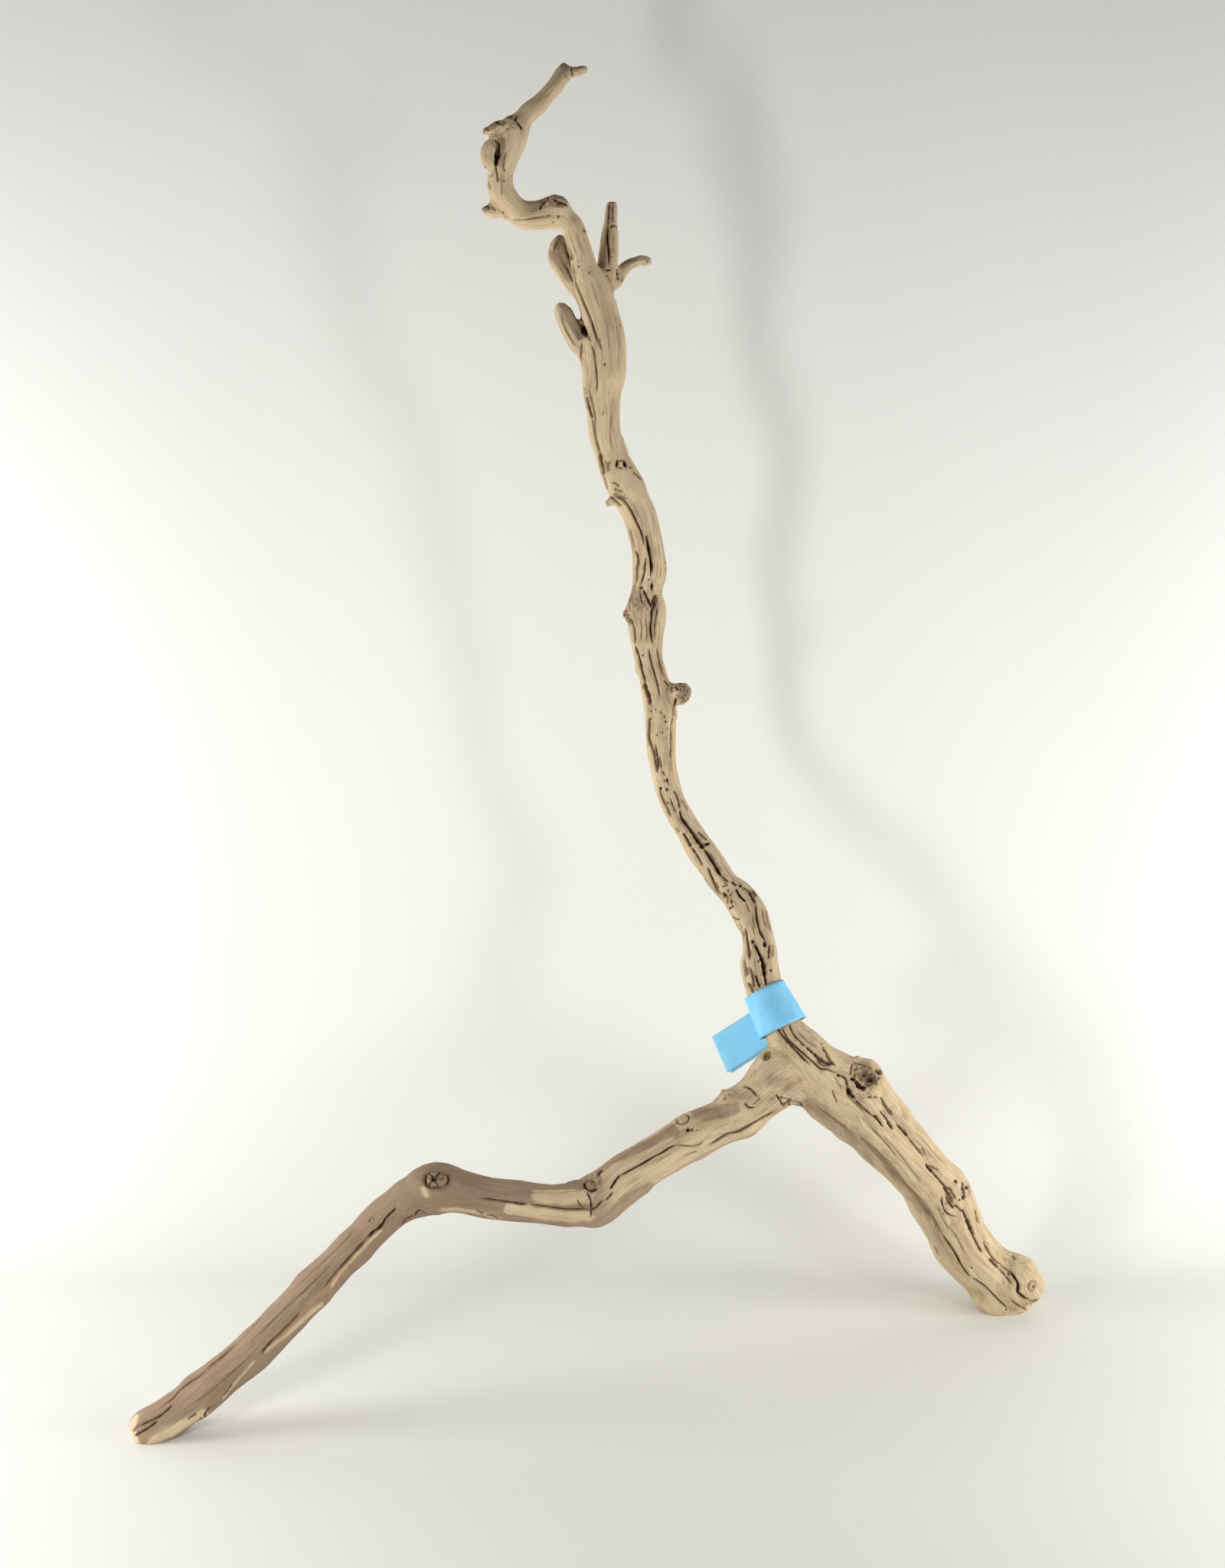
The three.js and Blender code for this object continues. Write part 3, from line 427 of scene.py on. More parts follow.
def noise3(p, seed):
    """Gradient noise of points, about -1 to 1."""
    i = np.floor(p).astype(np.int64)
    f = p - i
    u = f * f * f * (f * (f * 6 - 15) + 10)
    total = 0
    for dx in (0, 1):
        for dy in (0, 1):
            for dz in (0, 1):
                n = ((i[:, 0] + dx) * 374761393 + (i[:, 1] + dy) * 668265263 + (i[:, 2] + dz) * 1440662683 + seed * 974634777) & 0xFFFFFFFF
                n = ((n ^ (n >> 13)) * 1274126177) & 0xFFFFFFFF
                n = ((n ^ (n >> 16)) * 2246822519) & 0xFFFFFFFF
                n ^= n >> 15
                g = ((n & 1023) / 511.5 - 1) * (f[:, 0] - dx) + (((n >> 10) & 1023) / 511.5 - 1) * (f[:, 1] - dy) + (((n >> 20) & 1023) / 511.5 - 1) * (f[:, 2] - dz)
                total = total + g * (u[:, 0] if dx else 1 - u[:, 0]) * (u[:, 1] if dy else 1 - u[:, 1]) * (u[:, 2] if dz else 1 - u[:, 2])
    return total * 1.6


def ease(x, lo, hi):
    x = np.clip((x - lo) / (hi - lo), 0, 1)
    return x * x * (3 - 2 * x)

# ------------------------------------------------------------------------------- what is carved
# Slits and grooves of the front: half width (px), depth (mm), darkness (painted shade in the slit), points (px).
CRACKS = [
    (1.0, 1.8, 0.41, [(745, 87), (747, 94), (748, 101)]),
    (1.4, 2.2, 0.51, [(676, 150), (673, 155), (672, 158)]),
    (1.5, 2.0, 0.41, [(674, 158), (678, 163), (682, 170)]),
    (0.9, 1.4, 0.48, [(648, 157), (651, 160), (655, 163)]),
    (0.9, 1.4, 0.41, [(647, 169), (648, 178)]),
    (3.4, 7.0, 1.0, [(645, 182), (649, 190), (650, 200), (649, 210), (647, 218)]),
    (1.0, 1.6, 0.51, [(647, 217), (649, 226), (651, 238)]),
    (1.0, 1.2, 0.34, [(633, 214), (636, 230), (640, 248)]),
    (0.8, 1.0, 0.27, [(655, 226), (655, 240), (656, 256)]),
    (0.8, 1.0, 0.27, [(662, 196), (658, 212), (657, 226)]),
    (0.8, 1.0, 0.41, [(642, 269), (645, 273), (648, 276)]),
    (2.0, 4.0, 0.95, [(721, 258), (728, 262), (735, 265), (742, 268.5)]),
    (1.0, 1.6, 0.41, [(723, 263), (730, 267), (738, 270)]),
    (1.6, 2.0, 0.37, [(717, 256), (714, 262), (708, 266), (705, 275)]),
    (0.9, 1.0, 0.27, [(663, 288), (680, 287), (700, 284), (716, 282)]),
    (0.7, 0.9, 0.27, [(752, 300), (757, 318), (764, 336)]),
    (0.7, 0.9, 0.27, [(742, 298), (747, 314), (754, 334)]),
    (1.5, 3.4, 0.9, [(738, 318), (742, 331), (746, 344), (750, 357), (752, 368)]),
    (1.4, 2.2, 0.48, [(749, 362), (755, 378), (760, 390), (766, 404), (772, 418), (778, 438), (784, 456)]),
    (1.2, 0.8, 0.2, [(733, 308), (728, 316), (724, 326)]),
    (1.0, 1.2, 0.34, [(738, 345), (744, 358), (750, 372)]),
    (1.4, 3.6, 1.0, [(794.5, 295), (793, 308), (793.5, 318), (795, 328), (795, 345)]),
    (0.9, 1.2, 0.37, [(796, 264), (795, 280), (794, 294)]),
    (0.9, 1.2, 0.37, [(801, 266), (800, 280), (801, 293)]),
    (1.6, 1.6, 0.44, [(797, 296), (802, 294), (806, 297)]),
    (0.7, 0.8, 0.24, [(801, 302), (801, 320), (802, 338)]),
    (1.4, 2.4, 0.54, [(805, 350), (806, 358), (808, 367)]),
    (0.9, 0.9, 0.31, [(808, 348), (820, 341), (834, 337)]),
    (1.0, 0.9, 0.3, [(742, 398), (748, 407), (753, 416), (758, 427), (763, 440)]),
    (1.0, 1.8, 0.54, [(752, 398), (753, 406), (757, 413), (762, 424), (768, 438), (773, 447)]),
    (0.9, 1.0, 0.27, [(733, 404), (735, 420), (742, 436), (752, 452)]),
    (1.2, 1.4, 0.41, [(760, 447), (759, 458), (758, 470), (759, 484)]),
    (1.3, 1.5, 0.34, [(771, 446), (775, 458), (777, 470), (779, 485), (780, 500), (779, 514)]),
    (1.0, 1.2, 0.34, [(783, 440), (784, 450), (786, 458)]),
    (1.4, 2.6, 0.95, [(766, 517), (769, 530), (772, 540), (774, 547)]),
    (1.0, 1.6, 0.51, [(774, 546), (776, 558), (778, 572), (782, 586), (785, 595)]),
    (2.4, 3.2, 0.9, [(784, 590), (785, 602), (787, 612), (789, 622)]),
    (0.8, 1.0, 0.34, [(763, 504), (766, 517)]),
    (0.8, 1.0, 0.37, [(769, 506), (773, 522), (777, 540), (779, 563)]),
    (0.9, 1.2, 0.6, [(789, 620), (791, 630), (793, 641)]),
    (0.7, 0.7, 0.2, [(798, 395), (804, 420), (808, 450), (808, 480)]),
    (0.7, 0.7, 0.2, [(786, 395), (792, 420), (795, 445), (796, 466)]),
    (0.7, 0.7, 0.2, [(772, 366), (778, 386), (784, 404)]),
    (0.8, 0.8, 0.24, [(799, 522), (798, 545), (797, 570), (800, 588)]),
    (0.7, 0.8, 0.27, [(788, 536), (787, 544)]),
    (1.0, 1.2, 0.6, [(826, 615), (832, 621), (838, 627)]),
    (0.8, 1.0, 0.6, [(797, 602), (795, 608), (796, 616)]),
    (0.8, 1.0, 0.5, [(790, 601), (793, 606), (793, 617)]),
    (0.9, 1.2, 0.6, [(799, 630), (805, 632), (809, 636)]),
    (0.9, 1.0, 0.5, [(801, 638), (807, 640), (814, 643)]),
    (1.2, 2.6, 0.95, [(798, 644), (806, 649), (813, 653), (820, 661), (826, 671), (831, 682), (836, 693), (840, 704), (841, 714)]),
    (0.8, 1.0, 0.45, [(801, 642), (809, 647), (818, 652)]),
    (1.0, 1.6, 0.6, [(797, 648), (804, 655), (813, 662)]),
    (2.1, 4.8, 1.0, [(844, 699), (846, 711), (848, 722), (850, 733), (851, 743), (849, 754)]),
    (1.1, 2.2, 0.95, [(844, 728), (842, 741), (841, 749), (839, 757), (835, 767)]),
    (1.6, 1.6, 0.55, [(829, 718), (833, 730), (831.5, 744), (830, 763)]),
    (0.7, 0.8, 0.4, [(822, 690), (826, 705), (829, 718)]),
    (1.0, 1.4, 0.6, [(835, 770), (837, 780), (839, 789)]),
    (1.7, 2.2, 0.75, [(839, 769), (844, 779), (848, 787), (851, 794)]),
    (2.4, 2.6, 0.75, [(850, 791), (854, 784), (857, 776)]),
    (1.5, 3.4, 1.0, [(856.5, 775), (857, 783), (855, 790), (851.5, 799), (851, 810), (849.5, 820), (850.5, 831), (853, 843)]),
    (1.0, 1.6, 0.6, [(858, 789), (857.5, 802), (855.5, 815), (855, 833)]),
    (0.8, 0.9, 0.4, [(826, 776), (822, 788), (823, 800)]),
    (0.7, 0.8, 0.35, [(836, 806), (838, 822), (837, 838)]),
    (0.7, 0.8, 0.35, [(843, 806), (845, 822), (844, 840)]),
    (1.3, 1.9, 0.7, [(823, 807), (827, 820), (829, 832), (829, 843)]),
    (1.8, 3.2, 0.9, [(829, 843), (834, 856), (837, 868), (840, 880), (844, 894)]),
    (2.8, 2.6, 0.8, [(841, 891), (844, 901), (848, 911), (849, 922)]),
    (0.9, 2.2, 1.0, [(847, 846), (849, 858), (852, 871), (856, 884), (859, 895), (862, 911)]),
    (0.9, 1.8, 0.8, [(858, 845), (860, 858), (862, 868), (866, 883)]),
    (0.9, 1.5, 0.85, [(867, 888), (870, 892), (874, 896)]),
    (0.6, 1.0, 0.5, [(877, 896), (878, 906)]),
    (1.3, 2.0, 1.0, [(882, 896), (886, 901)]),
    (1.5, 2.4, 0.9, [(883, 910), (881, 922), (880, 936)]),
    (1.0, 1.4, 0.6, [(880, 935), (877, 947), (877, 962), (877, 976), (876, 993)]),
    (1.5, 2.8, 0.9, [(848, 937), (848, 950), (848, 961), (850, 971), (853, 979)]),
    (1.3, 2.6, 0.95, [(852, 974), (855, 988), (857, 1000), (859, 1010)]),
    (0.9, 2.0, 0.9, [(856, 972), (858, 987), (860, 1000), (859, 1008)]),
    (0.7, 1.0, 0.55, [(861, 988), (863, 996), (864, 1003)]),
    (0.9, 1.2, 0.85, [(865, 1007), (868, 1013)]),
    (1.3, 2.0, 0.8, [(861, 1031), (863, 1039), (868, 1050), (873, 1060), (876, 1068)]),
    (0.9, 1.6, 0.8, [(875, 1042), (878, 1051), (883, 1062)]),
    (1.2, 1.7, 0.7, [(880, 1032), (885, 1043), (888, 1057)]),
    (0.8, 0.9, 0.45, [(889, 1042), (895, 1052), (899, 1060)]),
    (2.4, 3.6, 0.9, [(888, 1058), (890, 1068), (895, 1075), (901, 1083), (907, 1091), (912, 1099)]),
    (4.2, 5.0, 0.95, [(905, 1089), (911, 1097), (916, 1103), (920, 1109)]),
    (3.1, 4.6, 0.95, [(919, 1109), (927, 1119), (932, 1127), (937, 1136), (943, 1146)]),
    (1.0, 1.6, 0.75, [(942, 1144), (947, 1148), (952, 1152)]),
    (1.3, 1.8, 0.65, [(911, 1086), (917, 1091), (924, 1097)]),
    (1.9, 2.2, 0.8, [(892, 1088), (898, 1098), (903, 1107)]),
    (1.2, 1.9, 0.8, [(903, 1106), (909, 1115), (914, 1123), (918, 1131)]),
    (0.9, 1.0, 0.5, [(882, 1080), (888, 1088)]),
    (1.6, 2.0, 0.75, [(924, 1132), (929, 1145), (933, 1156), (937, 1164), (943, 1170)]),
    (1.0, 1.2, 0.65, [(934, 1152), (939, 1161)]),
    (0.9, 1.2, 0.65, [(943, 1158), (947, 1157), (951, 1155)]),
    (0.7, 1.0, 0.5, [(944, 1147), (948, 1153), (951, 1157)]),
    (1.3, 1.8, 0.9, [(955, 1151), (962, 1157)]),
    (1.2, 1.4, 0.65, [(969, 1158), (975, 1162), (980, 1166)]),
    (1.7, 3.4, 1.0, [(961, 1160), (964, 1167), (968, 1172), (975, 1178)]),
    (2.0, 2.4, 0.85, [(977, 1162), (982, 1171), (987, 1181)]),
    (1.3, 1.8, 0.8, [(982, 1162), (988, 1171)]),
    (0.7, 1.0, 0.65, [(974, 1179), (977, 1186), (979, 1192)]),
    (1.9, 2.1, 0.7, [(987, 1180), (988, 1195), (990, 1207), (993, 1217), (997, 1224), (1000, 1230)]),
    (0.8, 1.0, 0.45, [(995, 1185), (998, 1200), (1002, 1213)]),
    (0.9, 1.0, 0.45, [(1000, 1183), (1003, 1203), (1007, 1220)]),
    (1.3, 1.4, 0.55, [(1005, 1233), (1004, 1243), (1004, 1253)]),
    (0.8, 1.0, 0.5, [(1010, 1233), (1009, 1251)]),
    (1.9, 3.6, 1.0, [(984, 1232), (988, 1238), (992, 1246), (996, 1255)]),
    (3.3, 5.2, 1.0, [(992, 1246), (997, 1257), (998, 1266), (999, 1276)]),
    (1.7, 3.0, 0.95, [(998, 1272), (1000, 1280), (1001, 1287)]),
    (1.3, 1.9, 0.8, [(973, 1211), (975, 1222), (977, 1235), (979, 1247), (979, 1254)]),
    (0.9, 1.3, 0.65, [(972, 1253), (973, 1264), (974, 1276)]),
    (0.8, 1.1, 0.5, [(976, 1262), (977, 1275)]),
    (1.3, 1.6, 0.6, [(980, 1263), (983, 1277), (985, 1291)]),
    (1.4, 3.0, 1.0, [(987, 1273), (989, 1281), (993, 1290)]),
    (2.6, 1.6, 0.55, [(976, 1283), (981, 1290), (984, 1298)]),
    (1.0, 1.4, 0.7, [(956, 1197), (961, 1200), (967, 1201)]),
    (0.7, 0.8, 0.35, [(966, 1205), (970, 1218), (971, 1232)]),
    (0.7, 0.8, 0.3, [(982, 1188), (984, 1204), (985, 1222)]),
    (1.2, 2.6, 0.95, [(1013, 1339), (1022, 1353), (1030, 1362), (1040, 1373), (1050, 1384), (1059, 1392)]),
    (1.1, 2.4, 0.9, [(1019, 1338), (1028, 1355), (1036, 1364), (1047, 1374), (1056, 1382), (1064, 1389), (1072, 1396), (1082, 1397), (1088, 1400), (1097, 1400)]),
    (1.5, 1.4, 0.5, [(1030, 1336), (1036, 1350), (1045, 1360), (1053, 1368)]),
    (1.5, 2.4, 0.9, [(1052, 1367), (1058, 1372), (1063, 1377)]),
    (2.8, 3.0, 0.8, [(1062, 1375), (1070, 1383), (1078, 1388), (1088, 1391)]),
    (0.9, 1.4, 0.75, [(1065, 1383), (1073, 1391), (1084, 1393)]),
    (2.0, 5.0, 1.0, [(1074, 1366), (1079, 1375), (1083, 1383), (1091, 1392)]),
    (0.7, 0.8, 0.35, [(1040, 1345), (1052, 1358), (1066, 1368)]),
    (1.2, 1.4, 0.7, [(996, 1384), (1003, 1383), (1007, 1375)]),
    (0.9, 1.6, 0.9, [(970, 1419), (979, 1421), (984, 1426), (990, 1433)]),
    (0.7, 0.8, 0.5, [(989, 1432), (992, 1434), (988, 1439), (981, 1443)]),
    (1.1, 1.8, 0.9, [(972, 1440), (978, 1446), (985, 1446)]),
    (1.2, 2.0, 0.75, [(1013, 1429), (1018, 1436), (1022, 1445)]),
    (1.3, 1.8, 0.8, [(1021, 1445), (1027, 1440), (1034, 1437)]),
    (1.0, 1.4, 0.65, [(1029, 1440), (1031, 1448)]),
    (0.8, 1.2, 0.55, [(1017, 1432), (1030, 1436), (1045, 1440)]),
    (1.0, 1.3, 0.6, [(1045, 1440), (1048, 1448)]),
    (1.6, 1.8, 0.65, [(1012, 1451), (997, 1459), (982, 1468), (966, 1477), (950, 1481), (937, 1489), (922, 1498)]),
    (1.4, 2.6, 0.95, [(1096, 1404), (1104, 1408), (1106, 1414), (1106.5, 1422)]),
    (1.0, 1.7, 0.8, [(1115, 1434), (1124, 1444), (1132, 1452), (1142, 1459)]),
    (0.8, 1.0, 0.55, [(1105, 1430), (1118, 1442), (1128, 1452)]),
    (1.0, 1.0, 0.5, [(1087, 1423), (1089, 1431), (1094, 1441)]),
    (0.8, 0.9, 0.4, [(1089, 1406), (1094, 1414), (1100, 1424)]),
    (3.6, 5.0, 1.0, [(1118, 1410), (1121, 1416), (1125, 1421), (1132, 1422)]),
    (1.2, 1.6, 0.75, [(1130, 1421), (1140, 1416), (1151, 1405)]),
    (1.0, 1.2, 0.55, [(1113, 1389), (1111, 1398), (1111, 1405)]),
    (0.9, 1.0, 0.45, [(1112, 1388), (1125, 1390), (1141, 1396)]),
    (2.4, 1.8, 0.5, [(1151, 1432), (1155, 1442), (1160, 1450), (1167, 1458)]),
    (1.4, 3.2, 1.0, [(1142, 1458), (1148, 1464), (1153, 1472)]),
    (1.3, 1.6, 0.7, [(1149, 1451), (1157, 1460), (1162, 1468)]),
    (1.9, 2.8, 1.0, [(1159, 1464), (1163, 1470), (1167, 1476)]),
    (1.3, 2.0, 0.85, [(1171, 1468), (1178, 1476), (1184, 1484)]),
    (1.8, 2.4, 0.95, [(1178, 1475), (1181, 1479), (1185, 1485)]),
    (1.0, 1.5, 0.65, [(1184, 1484), (1190, 1491), (1198, 1501), (1206, 1511)]),
    (0.9, 1.2, 0.55, [(1203, 1498), (1209, 1509)]),
    (1.8, 2.6, 1.0, [(1209, 1520), (1214, 1527), (1220, 1533)]),
    (1.2, 2.4, 0.95, [(1217, 1530), (1223, 1537), (1230, 1545), (1236, 1551), (1242, 1555)]),
    (1.0, 1.2, 0.55, [(1213, 1522), (1219, 1525), (1226, 1529)]),
    (1.6, 2.4, 0.95, [(1232, 1550), (1237, 1557), (1241, 1562)]),
    (1.9, 2.0, 0.8, [(1237, 1562), (1239, 1570), (1246, 1579)]),
    (1.2, 1.4, 0.65, [(1240, 1549), (1244, 1558), (1249, 1567)]),
    (1.2, 2.0, 0.9, [(1257, 1543), (1258, 1553), (1260, 1563)]),
    (1.1, 1.7, 0.9, [(1246, 1573), (1252, 1578), (1257, 1584)]),
    (1.1, 1.7, 0.75, [(1229, 1561), (1231, 1574), (1235, 1583), (1242, 1588), (1250, 1590)]),
    (1.5, 2.6, 0.95, [(1257, 1579), (1261, 1590), (1265, 1599)]),
    (2.6, 3.4, 0.85, [(1261, 1590), (1267, 1603), (1272, 1615)]),
    (1.3, 2.5, 0.9, [(1270, 1612), (1277, 1626), (1283, 1637)]),
    (1.6, 1.6, 0.55, [(1285, 1621), (1292, 1635), (1300, 1646), (1309, 1652)]),
    (1.6, 3.0, 1.0, [(1292, 1644), (1298, 1650), (1304, 1656)]),
    (0.9, 1.4, 0.7, [(1303, 1655), (1310, 1663), (1316, 1670), (1322, 1678)]),
    (0.9, 1.2, 0.55, [(1307, 1652), (1314, 1658), (1321, 1663)]),
    (1.9, 4.2, 1.0, [(1319, 1660), (1325, 1669), (1329, 1676), (1330, 1682), (1329, 1687), (1333, 1692), (1338, 1696), (1345, 1698)]),
    (1.2, 1.4, 0.55, [(1344, 1699), (1350, 1700), (1356, 1697)]),
    (0.8, 1.0, 0.5, [(1322, 1638), (1326, 1646)]),
    (1.4, 2.3, 0.85, [(1230, 1612), (1240, 1626), (1248, 1638), (1254, 1650), (1260, 1660), (1268, 1670)]),
    (1.1, 1.9, 0.85, [(1268, 1669), (1282, 1677), (1292, 1686), (1300, 1694), (1308, 1702), (1317, 1710)]),
    (0.9, 1.2, 0.55, [(1320, 1697), (1330, 1705), (1343, 1712)]),
    (4.2, 1.5, 0.28, [(1120, 1482), (1135, 1496), (1145, 1506), (1155, 1517), (1165, 1528), (1176, 1541), (1188, 1554), (1200, 1568), (1212, 1583), (1222, 1597), (1231, 1612)]),
    (0.8, 0.8, 0.4, [(1220, 1628), (1226, 1639)]),
    (1.2, 1.2, 0.5, [(1273, 1580), (1276, 1590), (1278, 1598)]),
    (0.8, 0.9, 0.35, [(1065, 1444), (1090, 1462), (1115, 1482)]),
    (0.8, 0.9, 0.35, [(1150, 1480), (1170, 1502), (1190, 1528), (1206, 1550)]),
    (0.8, 0.9, 0.35, [(1135, 1470), (1152, 1488), (1172, 1512)]),
    (0.7, 0.8, 0.3, [(1195, 1478), (1215, 1500), (1235, 1522)]),
    (0.7, 0.8, 0.3, [(1240, 1600), (1252, 1622), (1262, 1642)]),
    (0.7, 0.8, 0.3, [(1222, 1568), (1232, 1594), (1246, 1614)]),
    (1.4, 2.4, 0.9, [(885, 1494.5), (876, 1498), (868, 1503), (855, 1510), (840, 1519), (825, 1527), (808, 1536)]),
    (0.8, 1.0, 0.65, [(882, 1495), (890, 1496), (903, 1497), (912, 1495), (920, 1489)]),
    (1.4, 2.6, 1.0, [(810, 1534), (804, 1542), (797, 1553)]),
    (1.0, 1.7, 0.9, [(800, 1556), (796, 1563), (790, 1568)]),
    (1.1, 1.9, 0.9, [(787, 1567), (782, 1573), (776, 1579), (769, 1579.5)]),
    (1.1, 1.7, 0.85, [(772, 1579.5), (756, 1579), (740, 1579.5), (722, 1577), (705, 1574.5), (690, 1573)]),
    (1.6, 2.4, 1.0, [(669, 1570), (678, 1572), (687, 1573.5)]),
    (1.1, 1.8, 0.85, [(627, 1565), (640, 1566), (652, 1568), (665, 1570), (692, 1573)]),
    (1.7, 2.4, 1.0, [(781, 1536), (784, 1531), (788, 1528)]),
    (1.7, 2.4, 0.95, [(763, 1544), (764, 1550), (768, 1554)]),
    (2.1, 3.4, 1.0, [(767, 1553.5), (773, 1555), (780, 1552)]),
    (1.0, 1.4, 0.65, [(769, 1539), (765, 1545), (763, 1551)]),
    (0.9, 1.0, 0.5, [(771, 1541), (776, 1544), (778, 1550)]),
    (1.2, 1.8, 0.75, [(766, 1556), (771, 1566), (772, 1578), (772, 1591)]),
    (1.0, 1.2, 0.55, [(754, 1566), (757, 1573), (762, 1578)]),
    (0.7, 0.8, 0.35, [(893, 1510), (903, 1506), (912, 1503)]),
    (1.3, 2.0, 0.95, [(568, 1540), (564, 1536), (560, 1530)]),
    (1.2, 1.8, 0.9, [(569, 1539), (572, 1535), (575, 1529)]),
    (1.2, 1.8, 0.9, [(566, 1543), (562, 1546), (559, 1552)]),
    (1.0, 1.4, 0.8, [(569, 1543), (571, 1547), (574, 1551)]),
    (0.9, 1.2, 0.65, [(571, 1540), (576, 1541), (579, 1538)]),
    (0.9, 1.2, 0.65, [(571, 1537), (576, 1535), (581, 1536)]),
    (1.3, 2.0, 0.9, [(558, 1532), (556, 1540), (556, 1546), (558, 1551)]),
    (1.1, 1.7, 0.8, [(580, 1531), (586, 1538), (586, 1543), (581, 1548)]),
    (0.9, 1.3, 0.7, [(559, 1551), (567, 1552), (577, 1551)]),
    (1.1, 1.6, 0.75, [(524, 1601), (531, 1592), (542, 1587)]),
    (1.2, 1.9, 0.85, [(542, 1589), (545, 1583), (551, 1580.5)]),
    (0.8, 0.9, 0.45, [(550, 1581), (557, 1586)]),
    (0.9, 1.2, 0.65, [(621, 1580), (632, 1586)]),
    (0.9, 1.2, 0.65, [(635, 1587), (644, 1589), (653, 1594)]),
    (1.2, 2.6, 1.0, [(518, 1577), (510, 1585), (502, 1593)]),
    (2.0, 3.6, 1.0, [(504, 1590), (499, 1600), (494, 1605), (487, 1610), (479, 1618)]),
    (1.9, 2.2, 0.42, [(481, 1616), (468, 1630), (459, 1640), (450, 1650), (439, 1661)]),
    (1.6, 1.2, 0.28, [(443, 1657), (432, 1670), (423, 1682)]),
    (1.8, 1.6, 0.32, [(394, 1712), (380, 1727), (368, 1739), (357, 1750)]),
    (1.4, 2.0, 0.55, [(359, 1747), (350, 1757), (341, 1768)]),
    (1.2, 1.6, 0.6, [(308, 1753), (297, 1764), (288, 1773), (277, 1782), (269, 1790)]),
    (1.1, 1.5, 0.55, [(271, 1788), (258, 1799), (247, 1806), (235, 1816), (224, 1828), (210, 1838)]),
    (1.3, 1.9, 0.8, [(226, 1834), (212, 1847), (197, 1855), (181, 1863)]),
    (1.5, 2.7, 1.0, [(206, 1856), (192, 1866), (175, 1876)]),
    (0.9, 1.2, 0.55, [(183, 1861), (176, 1866), (173, 1871)]),
    (1.0, 1.4, 0.75, [(245, 1854), (251, 1850), (257, 1846)]),
    (1.1, 1.5, 0.8, [(267, 1854), (269, 1845), (276, 1836)]),
    (0.9, 1.2, 0.65, [(258, 1859), (264, 1851)]),
    (0.9, 1.2, 0.5, [(305, 1805), (298, 1815), (289, 1826)]),
    (0.7, 0.8, 0.3, [(470, 1600), (440, 1632), (410, 1660), (380, 1690)]),
    (0.7, 0.8, 0.3, [(440, 1645), (400, 1684), (360, 1722), (330, 1752)]),
    (0.7, 0.8, 0.3, [(350, 1712), (320, 1744), (290, 1775), (262, 1800)]),
    (0.7, 0.8, 0.3, [(335, 1765), (300, 1796), (270, 1822), (240, 1842)]),
]
